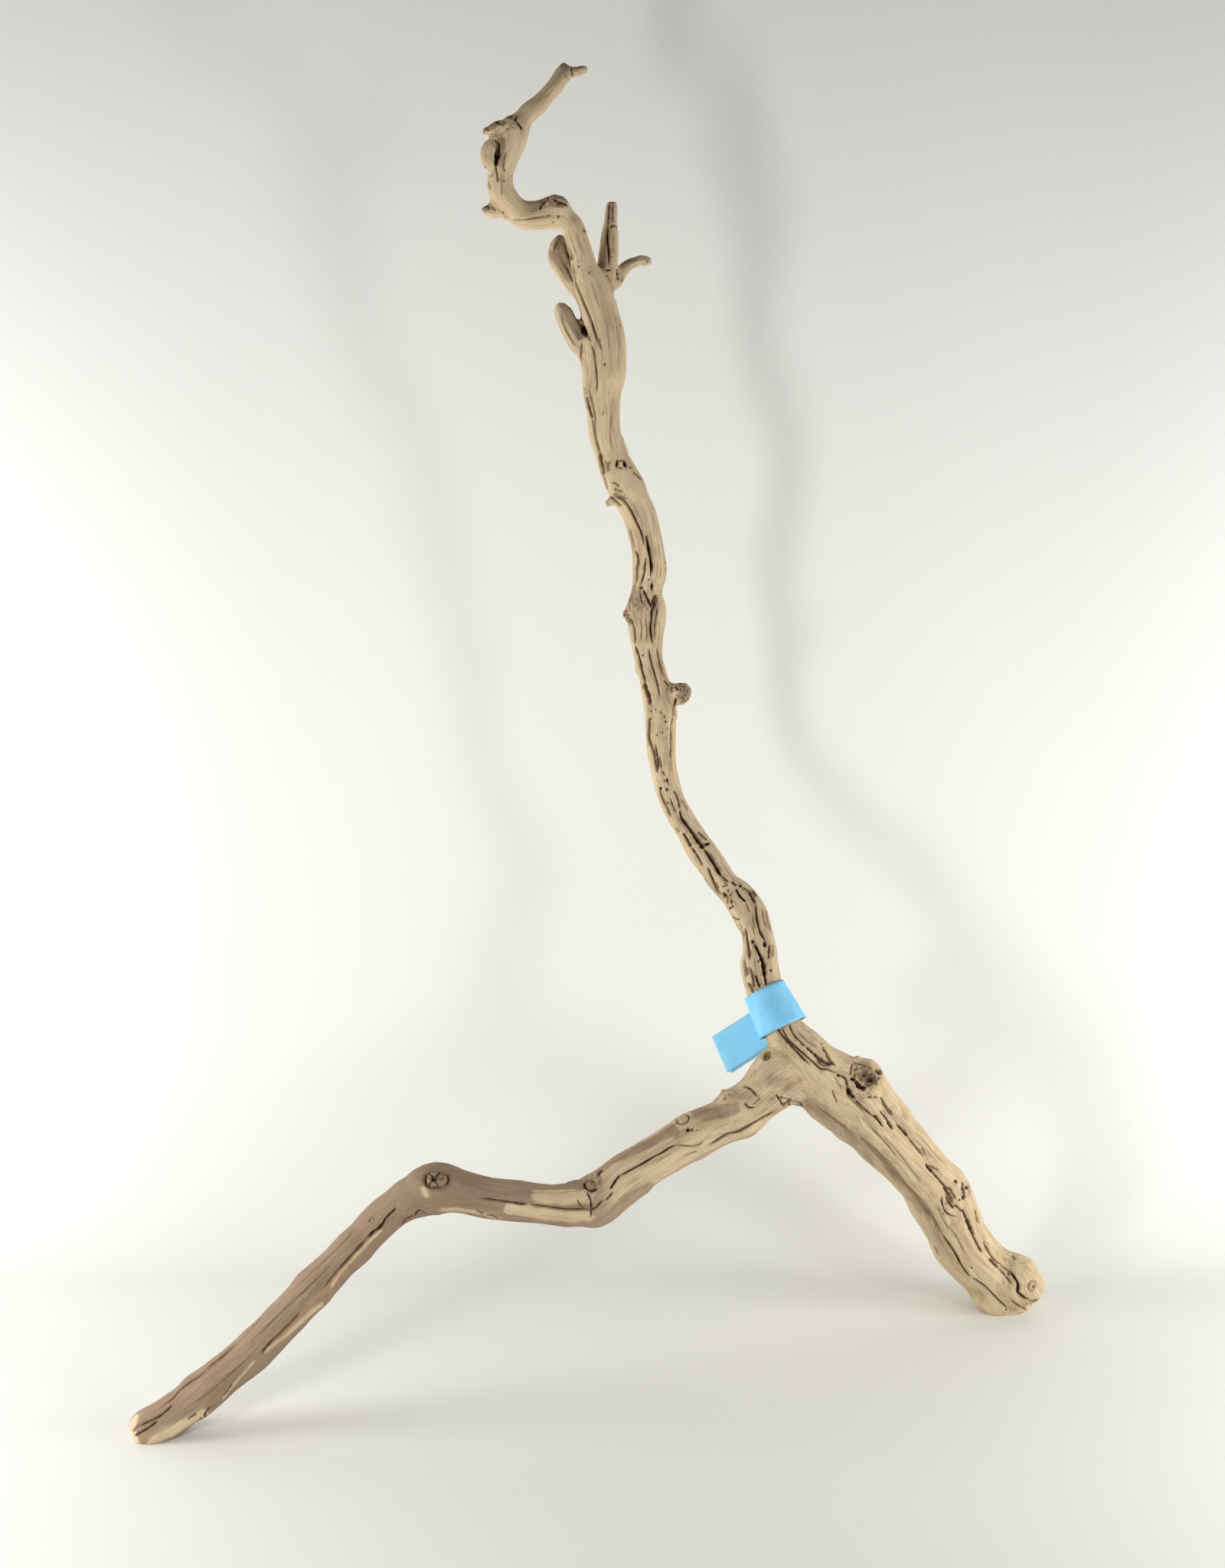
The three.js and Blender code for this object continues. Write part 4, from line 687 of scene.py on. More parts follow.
# Worm holes, pits and hollows: centre, half sizes (px), turn (degrees), depth (mm), darkness (painted shade in the
# hole).
PITS = [
    (632, 172, 1.6, 1.6, 0, 1.4, 0.85),
    (650, 161, 2.2, 1.3, 20, 1.4, 0.8),
    (659, 222, 1.1, 1.8, 0, 1.2, 0.75),
    (658, 236, 1.0, 1.6, 0, 1.2, 0.6),
    (657, 278, 1.0, 1.3, 0, 1.0, 0.6),
    (729.5, 283, 1.4, 1.4, 0, 2.0, 1.0),
    (717, 281.5, 3.0, 1.0, 5, 0.8, 0.45),
    (722, 291, 1.6, 0.7, 0, 0.8, 0.4),
    (763.7, 300, 1.6, 3.2, -12, 2.2, 0.95),
    (745.5, 336, 2.2, 4.0, -15, 2.5, 0.85),
    (755.5, 348, 1.4, 1.5, 0, 1.6, 0.85),
    (770, 355.5, 1.8, 1.0, -20, 1.0, 0.5),
    (755, 341, 0.8, 1.0, 0, 0.8, 0.4),
    (794, 353, 2.2, 1.1, -10, 1.5, 0.9),
    (792.5, 360, 1.1, 1.1, 0, 1.4, 0.95),
    (798, 335, 1.0, 2.0, 0, 0.8, 0.4),
    (846, 341.5, 2.2, 1.0, -20, 0.8, 0.75),
    (841, 346, 1.0, 0.7, 0, 0.6, 0.45),
    (812, 366, 1.0, 1.7, 20, 0.8, 0.5),
    (763, 432, 4.2, 9.0, -25, 7.0, 1.0),
    (790, 476, 1.3, 1.3, 0, 2.0, 1.0),
    (795, 425, 0.6, 1.6, -10, 0.7, 0.4),
    (810, 425, 0.9, 2.2, 0, 0.7, 0.4),
    (806.0, 605.5, 2.0, 5.0, 8, 3.0, 0.95),
    (815.8, 606, 2.5, 5.0, -8, 3.2, 1.0),
    (811, 601.6, 3.4, 1.0, 0, 1.8, 0.7),
    (810, 611, 3.0, 1.0, 0, 1.6, 0.6),
    (823, 610.5, 2.4, 1.1, 0, 1.4, 0.85),
    (851.5, 767, 1.9, 5.2, 0, 2.6, 0.9),
    (837, 768.5, 2.8, 1.7, -10, 2.0, 0.95),
    (847, 757, 1.6, 1.2, 0, 1.0, 0.5),
    (816, 803, 1.8, 2.4, 0, 1.6, 0.85),
    (819.5, 807, 1.1, 1.1, 0, 1.4, 0.95),
    (823.5, 812, 2.6, 5.0, -30, 1.0, 0.6),
    (814, 810, 1.0, 1.6, 0, 1.0, 0.6),
    (839.5, 856, 1.0, 1.15, 0, 1.6, 0.95),
    (859, 895.5, 1.5, 1.7249999999999999, 0, 1.6, 0.95),
    (850, 929, 1.0, 1.15, 0, 1.6, 0.95),
    (849.5, 939, 1.2, 1.38, 0, 1.6, 0.95),
    (863, 931, 0.9, 1.035, 0, 1.6, 0.95),
    (868, 936, 1.0, 1.15, 0, 1.6, 0.95),
    (869.5, 942.5, 1.2, 1.38, 0, 1.6, 0.95),
    (865, 956.5, 1.0, 1.15, 0, 1.6, 0.95),
    (858, 960, 0.9, 1.035, 0, 1.6, 0.95),
    (872, 951, 0.8, 0.9199999999999999, 0, 1.6, 0.95),
    (856, 926, 0.7, 0.8049999999999999, 0, 1.6, 0.95),
    (871, 965, 0.7, 0.8049999999999999, 0, 1.6, 0.95),
    (852, 922, 0.8, 0.9199999999999999, 0, 1.6, 0.95),
    (871.5, 1019.5, 1.7, 2.6, 0, 3.0, 1.0),
    (868, 1020, 0.9, 1.9, 0, 1.6, 0.8),
    (874, 1024, 0.9, 1.3, 0, 1.4, 0.8),
    (871, 1031.5, 1.4, 2.3, -35, 2.4, 1.0),
    (862.5, 1030, 1.9, 1.9, 0, 2.2, 0.9),
    (872, 1048.5, 1.0, 1.6, -20, 1.6, 0.9),
    (924, 1102, 3.4, 2.1, -15, 3.0, 1.0),
    (967, 1156.5, 2.1, 2.1, 0, 3.0, 1.0),
    (946, 1169, 2.4, 3.4, 0, 3.0, 1.0),
    (951, 1163, 0.9, 2.2, 0, 1.8, 0.9),
    (950, 1171, 1.0, 2.2, 0, 1.8, 0.9),
    (950.5, 1178, 1.1, 2.6, 0, 1.8, 0.9),
    (953.5, 1169, 0.9, 2.4, 0, 1.8, 0.9),
    (955, 1178, 1.1, 3.2, -10, 1.8, 0.9),
    (957, 1184, 1.1, 2.2, 0, 1.8, 0.9),
    (954, 1186, 1.5, 1.9, 0, 1.8, 0.9),
    (956.5, 1166, 1.1, 1.1, 0, 1.8, 0.9),
    (999, 1233, 2.3, 4.0, -5, 2.4, 0.9),
    (983, 1230, 2.3, 2.7, 0, 2.0, 0.9),
    (1007, 1267, 1.5, 1.5, 0, 2.0, 1.0),
    (990, 1255, 1.2, 2.0, 0, 1.0, 0.5),
    (1073, 1363.5, 1.5, 1.0, 0, 1.4, 0.85),
    (1120, 1378, 1.0, 2.1, 0, 1.4, 0.85),
    (1001, 1377, 7.6, 4.0, -50, 2.4, 0.62),
    (981, 1405, 1.4, 1.8, 0, 0.5, 0.35),
    (1095, 1404.5, 3.0, 1.9, 15, 3.0, 1.0),
    (1109.5, 1427, 3.8, 6.6, -20, 4.6, 1.0),
    (1114, 1433, 2.8, 2.8, 0, 3.0, 1.0),
    (1131, 1407, 16, 11, 28, 3.4, 0.3),
    (1115, 1409, 3.8, 2.8, 25, 4.0, 1.0),
    (1129, 1403, 3.2, 3.2, 0, 3.0, 0.9),
    (1138, 1411, 6.6, 4.8, -25, 4.0, 0.95),
    (1147.5, 1400, 4.8, 3.1, 45, 4.0, 1.0),
    (1136, 1433.5, 3.0, 1.6, 0, 1.4, 0.65),
    (1143, 1433, 2.5, 1.6, 0, 1.4, 0.65),
    (1143.5, 1459, 3.2, 2.0, 20, 2.6, 0.95),
    (1240, 1565, 5.0, 9.5, -15, 2.2, 0.5),
    (1248.5, 1543.5, 1.9, 2.8, -25, 2.4, 1.0),
    (1253, 1567.5, 1.7, 1.1, -10, 1.4, 0.85),
    (1263, 1551, 2.6, 2.7, 0, 2.4, 0.9),
    (1258, 1553, 1.9, 2.8, 0, 2.2, 0.9),
    (1259, 1564, 2.5, 3.2, 20, 2.6, 1.0),
    (1266, 1556, 0.9, 1.8, -10, 1.2, 0.75),
    (1317, 1664, 1.4, 2.5, -35, 1.4, 0.75),
    (1350, 1681, 1.9, 2.1, 0, 2.0, 1.0),
    (1269, 1656, 1.7, 1.1, 0, 1.0, 0.65),
    (1314, 1711, 1.5, 1.5, 0, 1.2, 0.75),
    (1274, 1582, 1.3, 1.7, 0, 1.2, 0.75),
    (898.5, 1475.5, 2.8, 2.5, 0, 3.6, 1.0),
    (904, 1475.5, 2.0, 2.2, 0, 1.6, 0.75),
    (910, 1476, 0.9, 1.3, 0, 0.8, 0.65),
    (567, 1541, 4.6, 4.0, 0, 2.8, 0.95),
    (483, 1594, 1.0, 1.9, 30, 1.2, 0.85),
    (488, 1591, 0.9, 0.9, 0, 1.0, 0.65),
]
# Knots and lumps: centre, half sizes (px), turn (degrees), height (mm), ring depth (mm), darkness (painted shade in the
# ring's groove, and the knot's own darker wood).
KNOTS = [
    (984, 1403, 5.0, 5.6, 0, 0.5, 0.0, 0.15),
    (1141, 1427, 8.0, 5.5, 20, 1.8, 0.2, 0.0),
    (1348, 1680, 4.6, 7.2, 15, 0.8, 1.0, 0.65),
    (892, 1461, 8.0, 6.0, -30, 1.2, 1.5, 0.8),
    (571, 1540, 15.5, 11, 0, 1.6, 1.6, 0.7),
]
# Torn, crumbly places: centre, half sizes (px), turn (degrees), height (mm), grain (mm).
ROUGH = [
    (893, 905, 11, 18, 0, 1.5, 2.4),
    (640, 171, 13, 8, 0, 1.0, 2.6),
    (664, 160, 14, 12, 0, 0.8, 3.0),
    (634, 273, 8, 7, 0, 0.9, 2.4),
    (816, 804, 7, 10, 0, 1.1, 2.2),
    (795, 655, 8, 8, 0, 1.0, 2.2),
    (946, 1429, 8, 9, 0, 0.9, 2.4),
    (1028, 1440, 16, 9, 15, 1.0, 2.6),
    (871, 745, 4, 18, 0, 0.9, 2.6),
    (1130, 1408, 22, 18, 30, 0.8, 2.8),
    (952, 1174, 9, 15, 0, 0.5, 1.8),
    (776, 1543, 14, 12, 0, 0.7, 3.0),
    (840, 786, 18, 14, 0, 0.5, 3.0),
    (1261, 1556, 7, 12, 0, 0.7, 2.2),
    (571, 1540, 13, 9, 0, 0.5, 2.0),
    (720, 262, 22, 9, 10, 0.7, 3.0),
    (766, 298, 4, 8, 0, 0.8, 2.4),
]
# Weather tones with painted light: grey and umber bands hold painted shade on shaded sides and in hollows as well as
# # weathering, pale bands hold painted highlight on lit rims as well as worn wood. Tone, strength, half width (px),
# points (px).
TONES = [
    ('mauve', 1.0, 36, [(694, 1568), (640, 1564), (600, 1556), (570, 1552), (540, 1564), (500, 1592), (460, 1632), (400, 1690), (350, 1745), (300, 1790), (240, 1838), (180, 1870)]),
    ('pale_and_highlight', 1.0, 10, [(766, 1562), (742, 1563), (722, 1563), (702, 1562)]),
    ('pale_and_highlight', 1.0, 8, [(768, 1589), (740, 1589), (715, 1586), (690, 1582), (664, 1579)]),
    ('pale_and_highlight', 0.9, 5, [(553, 1553), (557, 1562)]),
    ('pale_and_highlight', 0.75, 3.5, [(652, 1592), (620, 1583), (590, 1580), (575, 1580)]),
    ('mauve', 0.62, 9, [(783, 1527), (800, 1514), (820, 1506), (845, 1495), (865, 1484), (880, 1474)]),
    ('mauve', 0.58, 8, [(870, 1482), (882, 1478), (886, 1484)]),
    ('mauve', 0.62, 11, [(912, 1455), (930, 1456), (958, 1448)]),
    ('mauve', 0.6, 14, [(768, 1600), (795, 1590), (822, 1570), (848, 1554)]),
    ('mauve', 0.46, 6, [(850, 1556), (880, 1534), (910, 1516), (940, 1500), (975, 1489), (996, 1478)]),
    ('grey_and_shade', 1.0, 13, [(768, 1546), (778, 1543)]),
    ('grey_and_shade', 0.9, 6, [(768, 1558), (778, 1566)]),
    ('umber_and_shade', 0.5, 7, [(766, 1552), (776, 1552)]),
    ('mauve', 0.95, 4.5, [(690, 1550), (715, 1551), (740, 1549), (760, 1545)]),
    ('grey_and_shade', 0.8, 6, [(720, 1598), (745, 1598), (765, 1596)]),
    ('grey_and_shade', 0.7, 8, [(1008, 1438), (1012, 1448), (990, 1458)]),
    ('grey_and_shade', 0.85, 12, [(1008, 1410), (1030, 1418), (1046, 1432)]),
    ('grey_and_shade', 0.95, 13, [(1046, 1438), (1075, 1456), (1100, 1477), (1135, 1510)]),
    ('pale_and_highlight', 0.8, 14, [(1038, 1388), (1062, 1408), (1080, 1428)]),
    ('pale_and_highlight', 0.6, 8, [(1012, 1362), (1030, 1384)]),
    ('grey_and_shade', 0.55, 9, [(955, 1431), (985, 1431)]),
    ('grey_and_shade', 0.9, 8, [(1126, 1490), (1150, 1513), (1175, 1543), (1200, 1573), (1226, 1606)]),
    ('grey_and_shade', 0.75, 8, [(1162, 1452), (1180, 1472), (1195, 1488), (1214, 1512), (1226, 1532)]),
    ('grey_and_shade', 0.6, 16, [(1216, 1600), (1238, 1650)]),
    ('grey_and_shade', 0.45, 12, [(1246, 1600), (1266, 1632), (1290, 1680)]),
    ('pale_and_highlight', 0.9, 3, [(1148, 1478), (1165, 1494), (1185, 1511), (1200, 1527), (1215, 1545), (1227, 1559)]),
    ('pale_and_highlight', 0.8, 4, [(1256, 1596), (1266, 1616), (1276, 1634), (1290, 1650)]),
    ('pale_and_highlight', 0.7, 6, [(1190, 1462), (1215, 1492), (1240, 1518), (1258, 1540)]),
    ('grey_and_shade', 1.0, 14, [(1120, 1400), (1136, 1402)]),
    ('grey_and_shade', 0.8, 13, [(1102, 1408), (1122, 1432)]),
    ('umber_and_shade', 0.6, 8, [(1134, 1409), (1144, 1406)]),
    ('pale_and_highlight', 0.7, 7, [(1135, 1424), (1146, 1424)]),
    ('grey_and_shade', 0.6, 7, [(1060, 1355), (1075, 1378)]),
    ('grey_and_shade', 0.55, 10, [(1090, 1400), (1110, 1388)]),
    ('grey_and_shade', 0.8, 10, [(798, 398), (804, 440), (802, 486)]),
    ('grey_and_shade', 0.7, 8, [(786, 340), (790, 380)]),
    ('grey_and_shade', 0.85, 8, [(802, 525), (805, 560), (804, 588), (814, 597)]),
    ('grey_and_shade', 0.95, 7, [(816, 651), (828, 663), (837, 680), (845, 700), (852, 724)]),
    ('grey_and_shade', 1.0, 15, [(838, 784), (842, 798)]),
    ('grey_and_shade', 0.7, 9, [(838, 815), (838, 850)]),
    ('grey_and_shade', 0.75, 7, [(850, 760), (853, 790)]),
    ('pale_and_highlight', 0.9, 6, [(787, 545), (789, 570), (793, 598)]),
    ('pale_and_highlight', 0.7, 7, [(815, 622), (830, 640)]),
    ('pale_and_highlight', 0.6, 5, [(868, 770), (866, 800), (866, 830)]),
    ('grey_and_shade', 0.7, 7, [(766, 452), (770, 480), (774, 505)]),
    ('pale_and_highlight', 0.9, 3, [(767, 450), (768, 466)]),
    ('grey_and_shade', 0.55, 9, [(856, 870), (862, 910), (866, 960), (868, 1000)]),
    ('grey_and_shade', 0.6, 8, [(884, 1072), (896, 1086)]),
    ('grey_and_shade', 0.6, 9, [(934, 1120), (946, 1142)]),
    ('grey_and_shade', 0.6, 12, [(960, 1170), (972, 1190), (980, 1205)]),
    ('grey_and_shade', 0.75, 6, [(980, 1165), (986, 1178)]),
    ('grey_and_shade', 0.55, 9, [(984, 1260), (990, 1285)]),
    ('pale_and_highlight', 0.6, 5, [(940, 1098), (952, 1118), (968, 1140)]),
    ('pale_and_highlight', 0.7, 3, [(866, 1058), (884, 1090), (905, 1122), (926, 1150)]),
    ('pale_and_highlight', 0.6, 4, [(834, 850), (842, 885), (846, 930), (848, 980)]),
    ('umber_and_shade', 0.75, 7, [(735, 82), (737, 86)]),
    ('umber_and_shade', 0.3, 4, [(728, 90), (715, 107), (700, 121), (685, 135), (677, 147)]),
    ('grey_and_shade', 0.5, 8, [(726, 100), (706, 126), (690, 144)]),
    ('umber_and_shade', 0.6, 4, [(749, 90), (758, 87), (767, 87)]),
    ('umber_and_shade', 0.5, 5, [(642, 180), (645, 184)]),
    ('grey_and_shade', 1.0, 9, [(639, 196), (638, 210)]),
    ('grey_and_shade', 0.85, 7, [(668, 172), (662, 190), (656, 215)]),
    ('grey_and_shade', 0.7, 5, [(664, 152), (672, 158)]),
    ('umber_and_shade', 0.95, 5, [(632, 272), (636, 272)]),
    ('umber_and_shade', 0.85, 6, [(711, 258), (708, 264)]),
    ('grey_and_shade', 0.75, 9, [(690, 270), (715, 272), (735, 275)]),
    ('umber_and_shade', 0.5, 4, [(725, 257), (740, 263)]),
    ('umber_and_shade', 0.9, 8, [(731, 311), (728, 320)]),
    ('grey_and_shade', 1.0, 10, [(731, 332), (742, 355)]),
    ('grey_and_shade', 0.8, 9, [(733, 412), (744, 436), (756, 460)]),
    ('umber_and_shade', 0.75, 5, [(741, 399), (752, 418)]),
    ('umber_and_shade', 0.55, 7, [(798, 267), (797, 290)]),
    ('grey_and_shade', 0.75, 5, [(783, 345), (788, 315), (791, 298)]),
    ('umber_and_shade', 0.65, 11, [(893, 902), (895, 912)]),
    ('umber_and_shade', 0.6, 7, [(817, 803), (822, 812)]),
    ('grey_and_shade', 0.8, 5, [(806, 346), (822, 340), (846, 336)]),
    ('pale_and_highlight', 0.7, 6, [(668, 285), (690, 291), (715, 294)]),
    ('pale_and_highlight', 0.55, 6, [(692, 160), (680, 195), (672, 220)]),
    ('warm', 0.8, 5, [(478, 1624), (452, 1655), (428, 1682), (405, 1705)]),
    ('pale_and_highlight', 0.95, 2.2, [(498, 1607), (488, 1616), (470, 1635), (455, 1651), (442, 1666), (432, 1682)]),
    ('pale_and_highlight', 0.8, 4, [(420, 1704), (400, 1720), (384, 1735), (366, 1750), (348, 1764)]),
    ('warm', 0.7, 5, [(412, 1698), (390, 1718), (366, 1742)]),
    ('pale_and_highlight', 0.8, 2.0, [(332, 1778), (316, 1796), (304, 1810), (292, 1826)]),
    ('pale_and_highlight', 1.0, 8, [(200, 1882), (222, 1870), (244, 1858), (266, 1846)]),
    ('pale_and_highlight', 1.0, 6, [(176, 1850), (172, 1866), (178, 1886)]),
    ('umber_and_shade', 0.35, 10, [(290, 1800), (270, 1825)]),
    ('umber_and_shade', 0.3, 12, [(420, 1668), (395, 1692)]),
    ('umber_and_shade', 1.15, 6, [(735, 403), (745, 420), (757, 440)]),
    ('umber_and_shade', 0.75, 5, [(734, 309), (740, 322), (746, 338)]),
    ('umber_and_shade', 0.95, 10, [(893, 903), (896, 912)]),
    ('umber_and_shade', 0.6, 7, [(885, 898), (890, 916)]),
    ('grey_and_shade', 1.0, 12, [(826, 775), (832, 795), (838, 815)]),
    ('grey_and_shade', 0.9, 8, [(842, 790), (846, 815), (848, 835)]),
    ('umber_and_shade', 0.7, 6, [(1130, 1404), (1140, 1414)]),
    ('grey_and_shade', 1.0, 12, [(1122, 1398), (1138, 1408)]),
    ('grey_and_shade', 0.9, 9, [(1112, 1420), (1122, 1436)]),
    ('pale_and_highlight', 0.8, 6, [(812, 1528), (845, 1510), (875, 1494)]),
    ('pale_and_highlight', 0.85, 9, [(806, 1552), (850, 1528), (890, 1508), (930, 1486), (965, 1468)]),
    ('grey_and_shade', 0.45, 16, [(1120, 1455), (1160, 1500), (1200, 1545)]),
    ('mauve', 0.56, 10, [(722, 332), (732, 346), (742, 362)]),
    ('umber_and_shade', 0.8, 7, [(734, 310), (738, 322), (743, 336)]),
    ('mauve', 0.55, 6, [(655, 183), (657, 200), (655, 215)]),
    ('mauve', 0.45, 5, [(812, 350), (826, 340), (846, 337)]),
    ('umber_and_shade', 0.6, 4, [(664, 150), (672, 156), (680, 168)]),
    ('mauve', 0.45, 6, [(764, 470), (768, 495), (771, 520)]),
    ('mauve', 0.42, 5, [(772, 530), (776, 560), (781, 590)]),
    ('umber_and_shade', 1.15, 6, [(738, 399), (746, 412), (753, 424), (758, 435)]),
]

# ------------------------------------------------------------------------------- the skin
V, T = largest_piece(*fused(2.0))
V = smooth(V, T, np.ones(len(V)), 3, 0.5, 0.52)
V, T = sawn_off(V, T)


def free(v):
    """1 off the floor, 0 on the sawn faces, which stay flat."""
    return (v[:, 2] > 1e-3).astype(float)


LUMPS = ("foot_knob", "elbow_knot", "fork_knot", "flake_root", "crotch_fill", "rim_nub", "torn_collar", "crotch_nub")


def places(v, lumps=False):
    """Nearest and next limb of each vertex, with the distance along and the cross position on each.

    A lump has no grain of its own: its vertices lie on the limb it grew from.
    """
    number = np.array([k for k, name in enumerate(limbs) if lumps or name not in LUMPS])
    table = [limb.local(v) for name, limb in limbs.items() if lumps or name not in LUMPS]
    gap = np.stack([x[4] for x in table], -1)
    order = np.argsort(gap, axis=1)[:, :2]
    r = np.arange(len(v))
    pick = lambda k, j: np.stack([x[k] for x in table], -1)[r, order[:, j]]
    return number[order], gap[r, order[:, 0]], gap[r, order[:, 1]], [(pick(1, j), pick(2, j), pick(3, j)) for j in (0, 1)]


# Fill the inner corners where limbs meet, as wood does.
order, gap1, gap2, _ = places(V, True)
V = smooth(V, T, (1 - ease(gap2 - gap1, 1.5, 6.0)) * free(V), 14, 0.6)
V = smooth(V, T, free(V), 2, 0.5, 0.52)


# how near the skin comes to the front view's eye, in cells of the picture
uv, z = to_view(V)
NEAREST = np.full(400000, 1e9)
np.minimum.at(NEAREST, np.clip((np.floor(uv[:, 0] / 5).astype(int) + 1) * 1000 + np.floor(uv[:, 1] / 5).astype(int), 0, 399999), z)


def seen_from_front(v, n):
    """Where the front view sees the skin, and how squarely it faces that view."""
    uv, z = to_view(v)
    facing = -(unit(v - EYE) * n).sum(1)
    key = (np.floor(uv[:, 0] / 5).astype(int) + 1) * 1000 + np.floor(uv[:, 1] / 5).astype(int)
    own, *beside = [NEAREST[np.clip(key + k, 0, 399999)] for k in (0, 1, -1, 1000, -1000)]
    front = np.where(own < 1e8, own, np.minimum.reduce(beside))
    return uv, z, facing, (z < front + 14.0) & (facing > 0.0)


def from_line(uv, points):
    """Distance (px) of places from a line of points, signed by its side, and the share of its length where the nearest point lies."""
    p = np.array(points, float)
    best, share, side = np.full(len(uv), 1e9), np.zeros(len(uv)), np.ones(len(uv))
    run = np.r_[0, np.cumsum(np.linalg.norm(np.diff(p, axis=0), axis=1))]
    for i in range(len(p) - 1):
        d = p[i + 1] - p[i]
        t = np.clip(((uv - p[i]) @ d) / (d @ d), 0, 1)
        q = np.linalg.norm(uv - p[i] - t[:, None] * d, axis=1)
        nearer = q < best
        best = np.where(nearer, q, best)
        share = np.where(nearer, (run[i] + t * (run[i + 1] - run[i])) / run[-1], share)
        side = np.where(nearer, np.where(d[0] * (uv[:, 1] - p[i, 1]) > d[1] * (uv[:, 0] - p[i, 0]), 1.0, -1.0), side)
    return best * side, share


def curve(points):
    """The line through points as a smooth one."""
    if len(points) < 3:
        return points
    p = np.array(points, float)
    q = np.c_[p, np.zeros(len(p)), np.ones((len(p), 2))]
    return hermite(q, 3.0)[:, :2]


def turned(uv, u, v, a):
    c, s = math.cos(math.radians(a)), math.sin(math.radians(a))
    d = uv - [u, v]
    return d[:, 0] * c + d[:, 1] * s, -d[:, 0] * s + d[:, 1] * c


CRACKS = [(w, depth, carved_shade, curve(points)) for w, depth, carved_shade, points in CRACKS]
TONES = [(kind, strength, half, curve(points)) for kind, strength, half, points in TONES]

# Slits and pits that the front doesn't show, spread over the hidden skin along the grain.
HIDDEN = []
for name, number, count in (("trunk", 0, 84), ("left_leg", 1, 40)):
    limb = limbs[name]
    for _ in range(count):
        at = rng.uniform(15, limb.s[-1] - 15)
        r = np.interp(at, limb.s, limb.w)
        long = rng.uniform(0.25, 1.0) ** 1.6 * (52 if r > 14 else 40)
        HIDDEN.append(("slit", number, at, rng.uniform(0, 2 * np.pi), long, rng.uniform(0.5, 1.5) * (0.5 + r / 22), rng.uniform(0.8, 3.4) * (0.4 + r / 24), rng.uniform(-0.006, 0.010), rng.uniform(0, 100)))
    for _ in range(count // 2):
        at = rng.uniform(10, limb.s[-1] - 10)
        HIDDEN.append(("pit", number, at, rng.uniform(0, 2 * np.pi), rng.uniform(0.9, 2.6), rng.uniform(0.7, 1.4), rng.uniform(1.0, 3.0), 0.0, 0.0))
    for _ in range(count // 10):
        at = rng.uniform(20, limb.s[-1] - 20)
        HIDDEN.append(("knot", number, at, rng.uniform(0, 2 * np.pi), rng.uniform(4.5, 9.0), rng.uniform(0.7, 1.1), rng.uniform(0.8, 2.0), 0.0, 0.0))


